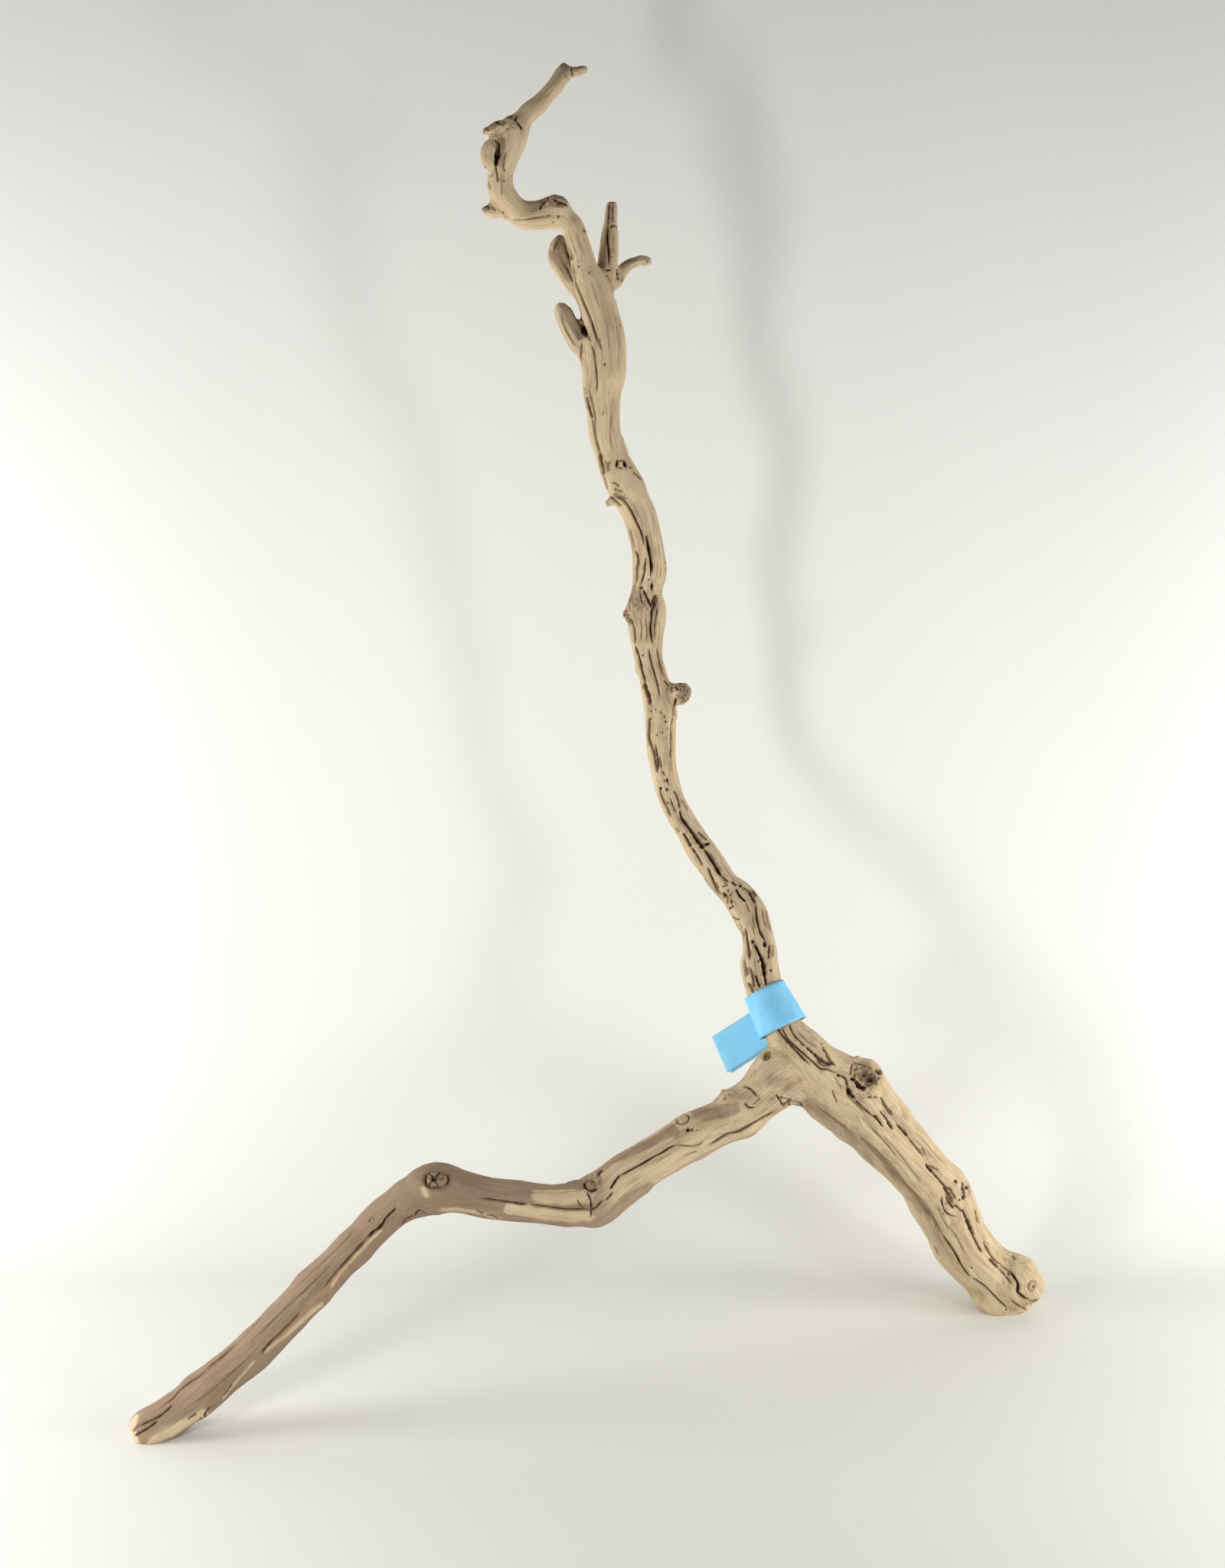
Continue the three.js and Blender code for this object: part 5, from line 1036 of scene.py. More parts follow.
def carving(v, n):
    """Depth cut into the skin (mm, less than 0 is a swelling), darkness painted as the shade in the carved hollows,
    distance from the nearest carved thing (mm), a darker halo that is partly stain and partly painted shade, and the
    nearest slit: signed distance and half width (mm), and how dark it is, as painted shade in the slit."""
    uv, z, facing, shown = seen_from_front(v, n)
    depth, carved_shade, near, stain_and_shade = np.zeros(len(v)), np.zeros(len(v)), np.full(len(v), 50.0), np.zeros(len(v))
    slit, score = np.stack([np.full(len(v), 3.0), np.full(len(v), 0.5), np.zeros(len(v))]), np.full(len(v), 1e9)

    def nearest_slit(i, d, half, black):
        far = np.abs(d) - half
        j = (far < score[i]) & (black > 0.02)
        k = i[j]
        score[k] = far[j]
        slit[:, k] = np.clip(d[j], -3, 3), half[j], (black * (1 - ease(far, 0.5, 1.3)))[j]

    mm = z / FOCAL
    lit = shown * ease(facing, 0.05, 0.30)
    for w, deep, black, line in CRACKS:
        lo, hi = np.min(line, axis=0) - 30, np.max(line, axis=0) + 30
        i = np.flatnonzero(shown & (uv > lo).all(1) & (uv < hi).all(1))
        if not len(i):
            continue
        d, share = from_line(uv[i], line)
        # a slit wavers in width and closes at its ends
        taper = np.clip(np.minimum(share, 1 - share) * 5, 0, 1) ** 0.6 * (1 + 0.18 * np.sin(share * 17 + line[0][0]))
        half = np.maximum(w * taper, 0.25) * mm[i]
        wide = np.maximum(half, 0.75)
        far = np.abs(d) * mm[i]
        ends = lit[i] * np.clip(taper * 1.4, 0, 1)
        cut = (1 - ease(far / wide, 0.25, 1.2)) * deep * (half / wide) ** 0.6 * np.clip(taper, 0.15, 1) * lit[i]
        lip = np.exp(-(((far - wide * 1.35) / 0.7) ** 2)) * 0.12 * min(deep, 2.5) * ends * (w < 6)
        depth[i] = np.where(cut > 0, np.maximum(depth[i], cut), depth[i] - lip)
        # the slit's darkness is painted shade in it
        nearest_slit(i, d * mm[i], np.maximum(half, 0.40), black * ends * np.minimum(half / 0.40, 1) ** 0.5)
        # a darker halo round the slit: partly stain, partly painted shade
        stain_and_shade[i] = np.maximum(stain_and_shade[i], black * (1 - ease(far / (half + 1.5), 0.25, 1.0)) * ends)
        near[i] = np.minimum(near[i], np.where(lit[i] > 0.02, np.maximum(far - half, 0), 50))
    for u, vv, a, b, turn, deep, black in PITS:
        i = np.flatnonzero(shown & (np.abs(uv - [u, vv]) < 3 * max(a, b) + 6).all(1))
        if not len(i):
            continue
        x, y = turned(uv[i], u, vv, turn)
        q = np.hypot(x / a, y / b) * (1 + 0.35 * noise3(v[i] / (0.5 * max(min(a, b) * 0.53, 1.6)), 43))  # chipped edges
        depth[i] = np.maximum(depth[i], deep * np.clip(1 - q**2.2, 0, 1) ** 0.7 * lit[i])
        # painted shade inside the pit
        carved_shade[i] = np.maximum(carved_shade[i], black * ease(1.2 - q, 0.0, 0.6) * lit[i])
        stain_and_shade[i] = np.maximum(stain_and_shade[i], black * (1 - ease(q, 0.9, 1.9)) * lit[i] * (a < 10))
        near[i] = np.minimum(near[i], np.where(lit[i] > 0.02, np.maximum(q - 1, 0) * min(a, b) * mm[i], 50))
    for u, vv, a, b, turn, high, ring, black in KNOTS:
        i = np.flatnonzero(shown & (np.abs(uv - [u, vv]) < 2 * max(a, b) + 6).all(1))
        if not len(i):
            continue
        x, y = turned(uv[i], u, vv, turn)
        q = np.hypot(x / a, y / b)
        depth[i] -= high * np.exp(-((q / 0.9) ** 4)) * lit[i]
        trough = np.exp(-(((q - 1.0) / 0.22) ** 2)) * lit[i]
        depth[i] += ring * trough
        # painted shade in the knot ring's groove
        carved_shade[i] = np.maximum(carved_shade[i], 0.45 * black * trough)
        stain_and_shade[i] = np.maximum(stain_and_shade[i], (0.25 + 0.6 * black) * (1 - ease(q, 0.8, 1.35)) * lit[i])
        near[i] = np.minimum(near[i], np.where(lit[i] > 0.02, np.maximum(np.abs(q - 1) - 0.3, 0) * min(a, b) * mm[i], 50))
    for u, vv, a, b, turn, high, size in ROUGH:
        i = np.flatnonzero(shown & (np.abs(uv - [u, vv]) < 1.4 * max(a, b) + 4).all(1))
        if not len(i):
            continue
        x, y = turned(uv[i], u, vv, turn)
        q = np.hypot(x / a, y / b)
        k = (1 - ease(q, 0.65, 1.25)) * shown[i]
        chips = noise3(v[i] / size, 41) + 0.6 * noise3(v[i] / (size * 0.5), 42)
        chips = np.sign(chips) * np.abs(chips) ** 0.7
        depth[i] += high * chips * k
        # painted shade where the chips are cut deepest, and a darker torn patch round them
        carved_shade[i] = np.maximum(carved_shade[i], 0.28 * ease(chips, 0.25, 0.9) * k)
        stain_and_shade[i] = np.maximum(stain_and_shade[i], (0.15 + 0.45 * ease(chips, -0.2, 0.6)) * k)
        near[i] = np.minimum(near[i], np.where(k > 0.05, 0.9, 50))
    # the rest of the skin, by its place along and round the limb
    hid = 1 - ease(facing, -0.02, 0.16) * shown
    order, gap1, gap2, ((s, x, y), _) = places(v)
    around = np.arctan2(y, x)
    radius = np.hypot(x, y)
    own = ease(gap2 - gap1, 1.0, 4.0)
    for kind, number, at, angle, long, wide, deep, drift, phase in HIDDEN:
        reach = long if kind == "slit" else long * 2 + 4
        i = np.flatnonzero((order[:, 0] == number) & (np.abs(s - at) < reach) & (hid > 0.01))
        if not len(i):
            continue
        ds = s[i] - at
        a = angle + drift * ds + (0.05 * np.sin(ds * 0.11 + phase) if kind == "slit" else 0)
        dx = np.angle(np.exp(1j * (around[i] - a))) * radius[i]
        k = hid[i] * own[i]
        if kind == "slit":
            share = np.clip(1 - np.abs(ds) / long, 0, 1)
            half = np.maximum(wide * share**0.6 * (1 + 0.3 * np.sin(ds * 0.35 + phase)), 0.1)
            depth[i] = np.maximum(depth[i], deep * share**0.5 * (1 - ease(np.abs(dx) / np.maximum(half, 0.8), 0.25, 1.2)) * k)
            # the hidden slit's darkness is painted shade in it
            nearest_slit(i, dx, np.maximum(half, 0.45), 0.75 * share**0.4 * k)
            # a darker halo round the hidden slit: partly stain, partly painted shade
            stain_and_shade[i] = np.maximum(stain_and_shade[i], 0.7 * (1 - ease(np.abs(dx) / (half + 1.6), 0.25, 1.0)) * share**0.4 * k)
            near[i] = np.minimum(near[i], np.where((k > 0.02) & (share > 0), np.maximum(np.abs(dx) - half, 0), 50))
        else:
            q = np.hypot(ds / (long * (1.5 if kind == "pit" else 1.15)), dx / (long * wide))
            if kind == "pit":
                depth[i] = np.maximum(depth[i], deep * np.clip(1 - q**2, 0, 1) ** 0.7 * k)
                # painted shade inside the hidden pit
                carved_shade[i] = np.maximum(carved_shade[i], 0.9 * ease(1.2 - q, 0, 0.6) * k)
                near[i] = np.minimum(near[i], np.where(k > 0.02, np.maximum(q - 1, 0) * long, 50))
            else:
                trough = np.exp(-(((q - 1.0) / 0.22) ** 2)) * k
                depth[i] += -deep * np.exp(-((q / 0.9) ** 4)) * k + 0.45 * deep * trough
                # painted shade in the hidden knot ring's groove
                carved_shade[i] = np.maximum(carved_shade[i], 0.15 * trough)
                stain_and_shade[i] = np.maximum(stain_and_shade[i], 0.6 * (1 - ease(q, 0.8, 1.35)) * k)
                near[i] = np.minimum(near[i], np.where(k > 0.02, np.maximum(np.abs(q - 1) - 0.3, 0) * long, 50))
    return depth, carved_shade, near, stain_and_shade, slit


def near_of(v, n):
    near = carving(v, n)[2]
    uv, z, facing, shown = seen_from_front(v, n)
    return near, shown & (facing > 0.05)


# Refine the skin: coarse behind, finer in front, finest along what is carved.
V, T = lean(V, T, 50000)
V[V[:, 2] < 0.12, 2] = 0.0
V, T = refine(V, normals_of(V, T), T, near_of, lambda near, front: np.where(front, np.minimum(2.3, 0.56 + near * 1.25), np.minimum(3.2, 1.5 + near * 1.5)))
V = smooth(V, T, free(V), 2, 0.4, 0.42)
N = normals_of(V, T)
print("skin", len(V), "vertices", len(T), "triangles")

depth, carved_shade, near, stain_and_shade, slit = carving(V, N)
order, gap1, gap2, ((s1, x1, y1), (s2, x2, y2)) = places(V)
# Slow lumps and the ribs of the grain, under the carving.
ribs = noise3(np.stack([s1 / 55, x1 / 6.5, y1 / 6.5], -1), 3) * 0.45 + noise3(np.stack([s1 / 30, x1 / 3.2, y1 / 3.2], -1), 4) * 0.28 + noise3(np.stack([s1 / 16, x1 / 1.9, y1 / 1.9], -1), 9) * 0.14
folds = noise3(np.stack([s1 / 130, x1 / 12, y1 / 12], -1), 6) * 0.6 * ease(np.hypot(x1, y1), 9.0, 16.0)
lumps = noise3(V / 16.0, 5) * 0.35
own = ease(gap2 - gap1, 0.5, 5.0)
V = V + N * ((-depth + ((ribs + folds) * (0.4 + 0.6 * own) + lumps)) * ease(V[:, 2], 0.0, 2.5))[:, None]
V[:, 2] = np.maximum(V[:, 2], 0.0)
N = normals_of(V, T)

# ------------------------------------------------------------------------------- tones of the wood, painted shade and highlight among them
uv, z, facing, shown = seen_from_front(V, N)
tone = {k: np.zeros(len(V)) for k in ("grey_and_shade", "pale_and_highlight", "mauve", "warm", "umber_and_shade")}
lit = shown * ease(facing, 0.02, 0.25)
for kind, strength, half, line in TONES:
    reach = 1.5 * half + 3
    i = np.flatnonzero(shown & (uv > np.min(line, axis=0) - reach).all(1) & (uv < np.max(line, axis=0) + reach).all(1))
    if len(i):
        torn_edge = 0.30 * noise3(np.stack([s1[i] / 9, x1[i] / 2.6, y1[i] / 2.6], -1), 23) + 0.25 * noise3(V[i] / 9.0, 24)
        d = np.abs(from_line(uv[i], line)[0]) * (1 + torn_edge)
        soft_on_stem = 1.0 if kind != "grey_and_shade" else 0.55 if np.mean(line, axis=0)[1] < 620 else 0.9
        tone[kind][i] = np.maximum(tone[kind][i], strength * soft_on_stem * (1 - ease(d / half, 0.35, 1.4)) * lit[i])
# the same play of tones on the hidden skin
hid = 1 - ease(facing, -0.05, 0.2) * shown
patch = noise3(np.stack([s1 / 70, x1 / 14, y1 / 14], -1), 21)
patch2 = noise3(np.stack([s1 / 45, x1 / 10, y1 / 10], -1), 22)
tone["grey_and_shade"] = np.maximum(tone["grey_and_shade"], hid * np.clip(0.35 + 0.9 * patch, 0, 1) * 0.8)
tone["pale_and_highlight"] = np.maximum(tone["pale_and_highlight"], hid * np.clip(0.9 * patch2 - 0.1, 0, 1))
low_leg = (order[:, 0] == list(limbs).index("left_leg")) * (0.75 * ease(s1, 150, 215) + 0.55 * ease(s1, 225, 300))
tone["mauve"] = np.maximum(tone["mauve"], low_leg)
tone["mauve"] *= 1 - 0.85 * np.clip(tone["pale_and_highlight"], 0, 1) * lit  # the skin is worn off where the wood is pale and where painted highlight lies on lit rims
# painted shade in hollows and painted highlight on ridges, by how far the skin lies under its own smoothed shape
soft = smooth(V, T, np.ones(len(V)), 6, 0.6)
relief_shade_highlight = np.clip(((soft - V) * N).sum(1) / 0.35, -1, 1)
softer = smooth(soft, T, np.ones(len(V)), 16, 0.6)
relief_shade_highlight = np.clip(0.6 * relief_shade_highlight + 0.6 * np.clip(((softer - V) * N).sum(1) / 0.9, -1, 1), -1, 1)

# the combed look of the grain: strong on the stem, weaker on the legs, slight at the top and on smooth wood
names = np.array(list(limbs))[order[:, 0]]
comb = np.where(names == "trunk", 0.42 + 0.48 * ease(uv[:, 1], 540, 700) - 0.20 * ease(uv[:, 1], 1300, 1420), np.where(names == "left_leg", 0.55 - 0.2 * ease(s1, 200, 300), 0.55))
comb *= 0.55 + 0.45 * ease(gap2 - gap1, 0.0, 8.0)

left = limbs["left_leg"]
endcut = ((order[:, 0] == list(limbs).index("left_leg")) & (s1 > left.s[-1] - 1.2)).astype(float)
endcut = np.maximum(endcut, (V[:, 2] < 0.3).astype(float))

# ------------------------------------------------------------------------------- the wood's mesh
me = bpy.data.meshes.new("driftwood_skin")
me.vertices.add(len(V))
me.vertices.foreach_set("co", (V * 1e-3).astype(np.float32).ravel())
me.loops.add(len(T) * 3)
me.loops.foreach_set("vertex_index", T.astype(np.int32).ravel())
me.polygons.add(len(T))
me.polygons.foreach_set("loop_start", (np.arange(len(T)) * 3).astype(np.int32))
me.polygons.foreach_set("use_smooth", np.ones(len(T), bool))
me.update(calc_edges=True)
me.validate()


def scalar(name, values):
    me.attributes.new(name, "FLOAT", "POINT").data.foreach_set("value", values.astype(np.float32))


def vector(name, values):
    me.attributes.new(name, "FLOAT_VECTOR", "POINT").data.foreach_set("vector", values.astype(np.float32).ravel())


vector("grain", np.stack([s1 + 400 * order[:, 0], x1, y1], -1))
vector("grain_b", np.stack([s2 + 400 * order[:, 1], x2, y2], -1))
scalar("meet", 0.5 * (1 - ease(gap2 - gap1, 0.0, 4.0)))
scalar("carved_shade", carved_shade)
scalar("stain_and_shade", stain_and_shade)
for k, w in zip(("slit_off", "slit_half", "slit_shade"), slit):
    scalar(k, w)
scalar("relief_shade_highlight", relief_shade_highlight)
scalar("comb", comb)
scalar("sawn", endcut)
for k, w in tone.items():
    scalar(k, w)
wood = bpy.data.objects.new("driftwood_wood", me)
bpy.context.scene.collection.objects.link(wood)
if len(T) > 198000:  # drop the triangles that add least to the shape
    spare = wood.modifiers.new("spare", "DECIMATE")
    spare.ratio = 197000 / len(T)
    shape = bpy.context.evaluated_depsgraph_get()
    kept = bpy.data.meshes.new_from_object(wood.evaluated_get(shape), preserve_all_data_layers=True, depsgraph=shape)
    wood.modifiers.clear()
    wood.data = kept
    bpy.data.meshes.remove(me)
    me = kept
    me.name = "driftwood_skin"


# ------------------------------------------------------------------------------- materials
class Nodes:
    """Short hand for building a node tree."""

    def __init__(self, tree):
        self.t = tree

    def add(self, kind, inputs=(), **props):
        n = self.t.nodes.new(kind)
        for k, v in props.items():
            setattr(n, k, v)
        for key, value in dict(inputs).items():
            sock = n.inputs[key]
            if isinstance(value, bpy.types.NodeSocket):
                self.t.links.new(value, sock)
            else:
                sock.default_value = value
        return n

    def math(self, op, a, b=0.0, c=0.0, clamp=False):
        return self.add("ShaderNodeMath", {0: a, 1: b, 2: c}, operation=op, use_clamp=clamp).outputs[0]

    def remap(self, x, a, b, c=0.0, d=1.0, smooth=True):
        n = self.add("ShaderNodeMapRange", {0: x, 1: a, 2: b, 3: c, 4: d}, interpolation_type="SMOOTHSTEP" if smooth else "LINEAR")
        return n.outputs[0]

    def mix(self, f, a, b, blend="MIX"):
        n = self.add("ShaderNodeMix", data_type="RGBA", blend_type=blend)
        for sock, value in ((n.inputs[0], f), (n.inputs[6], a), (n.inputs[7], b)):
            if isinstance(value, bpy.types.NodeSocket):
                self.t.links.new(value, sock)
            else:
                sock.default_value = value
        return n.outputs[2]

    def scale(self, v, xyz):
        return self.add("ShaderNodeVectorMath", {0: v, 1: xyz}, operation="MULTIPLY").outputs[0]

    def noise(self, v, scale=1.0, detail=3.0, rough=0.55, warp=0.0):
        return self.add("ShaderNodeTexNoise", {"Vector": v, "Scale": scale, "Detail": detail, "Roughness": rough, "Distortion": warp}).outputs["Fac"]


def lin(r, g, b):
    f = lambda c: c / 12.92 if c <= 0.04045 else ((c + 0.055) / 1.055) ** 2.4
    return (f(r / 255), f(g / 255), f(b / 255), 1.0)


def grain_group():
    """Streaks, flecks and fibres that run along a limb, from its straightened coordinates in mm."""
    g = bpy.data.node_groups.new("grain_pattern", "ShaderNodeTree")
    g.interface.new_socket("Place", in_out="INPUT", socket_type="NodeSocketVector")
    for name in ("Broad", "Streak", "Fibre", "Check", "Fleck", "Groove", "Layer"):
        g.interface.new_socket(name, in_out="OUTPUT", socket_type="NodeSocketFloat")
    n = Nodes(g)
    a = n.add("NodeGroupInput").outputs[0]
    out = n.add("NodeGroupOutput")
    wob = n.add("ShaderNodeVectorMath", {0: n.scale(n.add("ShaderNodeTexNoise", {"Vector": n.scale(a, (1 / 34, 1 / 9, 1 / 9)), "Scale": 1.0, "Detail": 1.0}).outputs["Color"], (0.0, 3.0, 3.0)), 1: a}, operation="ADD").outputs[0]
    broad = n.noise(n.scale(wob, (1 / 120, 1 / 5.5, 1 / 5.5)), 1.0, 2.0)
    streak = n.noise(n.scale(wob, (1 / 46, 1 / 1.25, 1 / 1.25)), 1.0, 3.0, 0.62)
    fibre = n.noise(n.scale(wob, (1 / 18, 1 / 0.55, 1 / 0.55)), 1.0, 1.0, 0.6)
    check = n.remap(n.noise(n.scale(wob, (1 / 24, 1 / 1.05, 1 / 1.05)), 1.0, 2.0, 0.5), 0.66, 0.73)
    fleck = n.remap(n.noise(n.scale(a, (1 / 2.6, 1 / 0.9, 1 / 0.9)), 1.0, 2.0, 0.5), 0.70, 0.78)
    # long fine grooves come and go along the grain, and the skin lies in thin torn layers
    valley = n.math("ABSOLUTE", n.math("SUBTRACT", n.noise(n.scale(wob, (1 / 70, 1 / 2.3, 1 / 2.3)), 1.0, 1.0, 0.5), 0.5))
    groove = n.math("MULTIPLY", n.remap(valley, 0.045, 0.0), n.remap(n.noise(n.scale(a, (1 / 38, 1 / 6.0, 1 / 6.0)), 1.0, 0.0), 0.46, 0.62))
    terrace = n.math("MULTIPLY", n.noise(n.scale(wob, (1 / 55, 1 / 5.0, 1 / 5.0)), 1.0, 2.0, 0.55), 9.0)
    layer = n.math("ADD", n.math("FLOOR", terrace), n.remap(n.math("FRACT", terrace), 0.0, 0.22))
    for name, value in (("Broad", broad), ("Streak", streak), ("Fibre", fibre), ("Check", check), ("Fleck", fleck), ("Groove", groove), ("Layer", layer)):
        g.links.new(value, out.inputs[name])
    return g


def wood_material():
    m = bpy.data.materials.new("weathered_wood")
    m.use_nodes = True
    m.node_tree.nodes.clear()
    n = Nodes(m.node_tree)
    attr = lambda name, which="Fac": n.add("ShaderNodeAttribute", attribute_name=name).outputs[which]
    pattern = grain_group()
    first = n.add("ShaderNodeGroup", node_tree=pattern)
    second = n.add("ShaderNodeGroup", node_tree=pattern)
    m.node_tree.links.new(attr("grain", "Vector"), first.inputs[0])
    m.node_tree.links.new(attr("grain_b", "Vector"), second.inputs[0])
    meet = attr("meet")
    both = {}
    for k in ("Broad", "Streak", "Fibre", "Check", "Fleck", "Groove", "Layer"):
        both[k] = n.add("ShaderNodeMix", {0: meet, 2: first.outputs[k], 3: second.outputs[k]}, data_type="FLOAT").outputs[0]
    relief_shade_highlight, carved_shade = attr("relief_shade_highlight"), attr("carved_shade")
    place = n.add("ShaderNodeTexCoord").outputs["Object"]
    blotch = n.noise(place, 38.0, 4.0, 0.6)
    edge = n.noise(n.scale(attr("grain", "Vector"), (1 / 15, 1 / 5.0, 1 / 5.0)), 1.0, 4.0, 0.68)
    # tan wood
    c = n.mix(n.remap(both["Broad"], 0.32, 0.68), lin(197, 171, 133), lin(216, 193, 157))
    c = n.mix(n.remap(both["Streak"], 0.42, 0.70, 0.0, 0.55), c, lin(171, 145, 112))
    c = n.mix(n.remap(both["Streak"], 0.50, 0.30, 0.0, 0.40), c, lin(223, 203, 171))
    c = n.mix(n.remap(blotch, 0.45, 0.72, 0.0, 0.28), c, lin(184, 153, 117))
    # weathered patches with torn edges; grey and umber carry painted shade too, pale carries painted highlight too
    ragged = n.math("ADD", n.math("MULTIPLY", n.math("SUBTRACT", edge, 0.5), 1.25), n.math("MULTIPLY", n.math("SUBTRACT", both["Streak"], 0.5), 0.5))
    torn = lambda name, lo, hi, most, fray=1.3: n.remap(n.math("MULTIPLY", attr(name), n.math("MULTIPLY_ADD", ragged, fray, 1.0)), lo, hi, 0.0, most)
    # grey: weathered grey wood, and painted shade on shaded sides and in hollows
    grey_and_shade = n.mix(n.remap(both["Streak"], 0.35, 0.65), lin(163, 141, 115), lin(139, 117, 95))
    c = n.mix(torn("grey_and_shade", 0.15, 1.05, 0.85), c, grey_and_shade)
    mauve = n.mix(n.remap(both["Streak"], 0.32, 0.68), lin(163, 137, 113), lin(144, 119, 97))
    mauve = n.mix(n.remap(both["Broad"], 0.40, 0.66, 0.0, 0.5), mauve, lin(153, 127, 103))
    mauve = n.mix(n.remap(attr("mauve"), 1.02, 1.28, 0.0, 0.5), mauve, lin(128, 104, 85))
    c = n.mix(torn("mauve", 0.26, 0.60, 0.94, 0.6), c, mauve)
    c = n.mix(torn("warm", 0.25, 0.90, 0.60), c, lin(182, 145, 103))
    # umber: dark brown wood, and painted shade on shadowed edges and in hollows
    c = n.mix(torn("umber_and_shade", 0.30, 0.85, 0.80), c, n.mix(n.remap(both["Streak"], 0.35, 0.66), lin(112, 90, 70), lin(80, 63, 49)))
    # pale: worn wood, and painted highlight on lit rims
    c = n.mix(torn("pale_and_highlight", 0.30, 1.0, 0.76), c, n.mix(n.remap(both["Streak"], 0.38, 0.66), lin(220, 198, 161), lin(202, 175, 135)))
    # fine checks and flecks, painted shade in hollows and painted highlight on ridges
    c = n.mix(n.math("MULTIPLY", both["Check"], 0.45), c, lin(116, 91, 67))
    c = n.mix(n.math("MULTIPLY", both["Fleck"], 0.40), c, lin(104, 80, 58))
    c = n.mix(n.remap(relief_shade_highlight, 0.10, 0.85, 0.0, 0.60), c, lin(120, 94, 69))
    # painted highlight on ridges, held back on the smooth mauve skin
    smooth_wood = n.math("MULTIPLY_ADD", n.remap(attr("mauve"), 0.2, 0.9), -0.85, 1.0)
    c = n.mix(n.math("MULTIPLY", n.remap(relief_shade_highlight, -0.15, -0.80, 0.0, 0.32), smooth_wood), c, lin(224, 203, 169))
    comb = attr("comb")
    groove = n.math("MULTIPLY", both["Groove"], comb)
    c = n.mix(n.math("MULTIPLY", groove, 0.50), c, lin(126, 99, 73))
    sand = n.noise(place, 1500.0, 2.0, 0.7)
    c = n.mix(n.remap(sand, 0.50, 0.72, 0.0, 0.22), c, lin(128, 103, 78))
    c = n.mix(n.remap(sand, 0.50, 0.30, 0.0, 0.16), c, lin(232, 214, 184))
    # a darker halo round what is carved: partly stain, partly painted shade
    c = n.mix(n.remap(attr("stain_and_shade"), 0.05, 1.0, 0.0, 0.42, False), c, lin(142, 114, 86))
    # painted shade in pits, knot rings and chipped places
    c = n.mix(n.remap(carved_shade, 0.08, 0.60, 0.0, 0.70), c, lin(112, 87, 64))
    c = n.mix(n.remap(carved_shade, 0.50, 0.95, 0.0, 0.90), c, lin(50, 37, 29))
    # slits, painted shade: brown with a darker core, their edges frayed by the grain
    fray = n.math("MULTIPLY", n.math("SUBTRACT", edge, 0.5), 0.9)
    away = n.math("DIVIDE", n.math("ABSOLUTE", n.math("ADD", attr("slit_off"), fray)), attr("slit_half"))
    slit_shade_amount = attr("slit_shade")
    c = n.mix(n.math("MULTIPLY", n.remap(away, 1.25, 0.55, 0.0, 0.82), n.remap(slit_shade_amount, 0.05, 0.55)), c, n.mix(both["Streak"], lin(136, 107, 79), lin(98, 75, 55)))
    c = n.mix(n.math("MULTIPLY", n.remap(away, 0.80, 0.25, 0.0, 0.88), n.math("MULTIPLY", n.remap(slit_shade_amount, 0.45, 0.95), n.remap(both["Streak"], 0.36, 0.56, 0.45, 1.0))), c, lin(54, 40, 31))
    saw = n.mix(n.remap(both["Fibre"], 0.35, 0.65), lin(218, 197, 160), lin(197, 170, 131))
    c = n.mix(attr("sawn"), c, saw)
    # relief finer than the mesh
    h = n.math("MULTIPLY_ADD", both["Layer"], 0.24, n.math("SUBTRACT", n.math("MULTIPLY", both["Streak"], 0.9), n.math("MULTIPLY", both["Groove"], 0.6)))
    h = n.math("MULTIPLY_ADD", h, comb, n.math("MULTIPLY_ADD", both["Fibre"], 0.45, n.math("MULTIPLY", sand, 0.16)))
    bump = n.add("ShaderNodeBump", {"Strength": 0.8, "Distance": 0.0013, "Height": h}).outputs[0]
    rough = n.remap(both["Streak"], 0.3, 0.7, 0.72, 0.9, False)
    b = n.add("ShaderNodeBsdfPrincipled", {"Base Color": c, "Roughness": rough, "Normal": bump, "Specular IOR Level": 0.25})
    o = n.add("ShaderNodeOutputMaterial", {"Surface": b.outputs[0]})
    return m


me.materials.append(wood_material())
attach(wood, "root")
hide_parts("driftwood")


# ------------------------------------------------------------------------------- the paper band
LOOP_AT = np.array([123.5, 29.7, 272.3])
LOOP_UP = unit(np.array([-0.438, 0.380, 0.815]))
FLAG_AT = np.array([116.8, 38.3, 255.0])
FLAG_ALONG = unit(np.array([-0.794, 0.146, -0.590]))
FLAG_UP = unit(np.array([-0.346, 0.688, 0.637]))
BAND_WIDTH, SHEET, FLAG_LENGTH = 32.0, 0.26, 41.0
LOOP_HALF, FLARE = np.array([17.6, 20.3]), 0.16
ACROSS = unit(-np.cross(LOOP_UP, AHEAD))
BACK = unit(np.cross(LOOP_UP, ACROSS))
FLAG_BEHIND = np.cross(FLAG_ALONG, FLAG_UP)
FLAG_BEHIND *= np.sign(FLAG_BEHIND @ AHEAD)
height = np.linspace(-0.5, 0.5, 15) * BAND_WIDTH


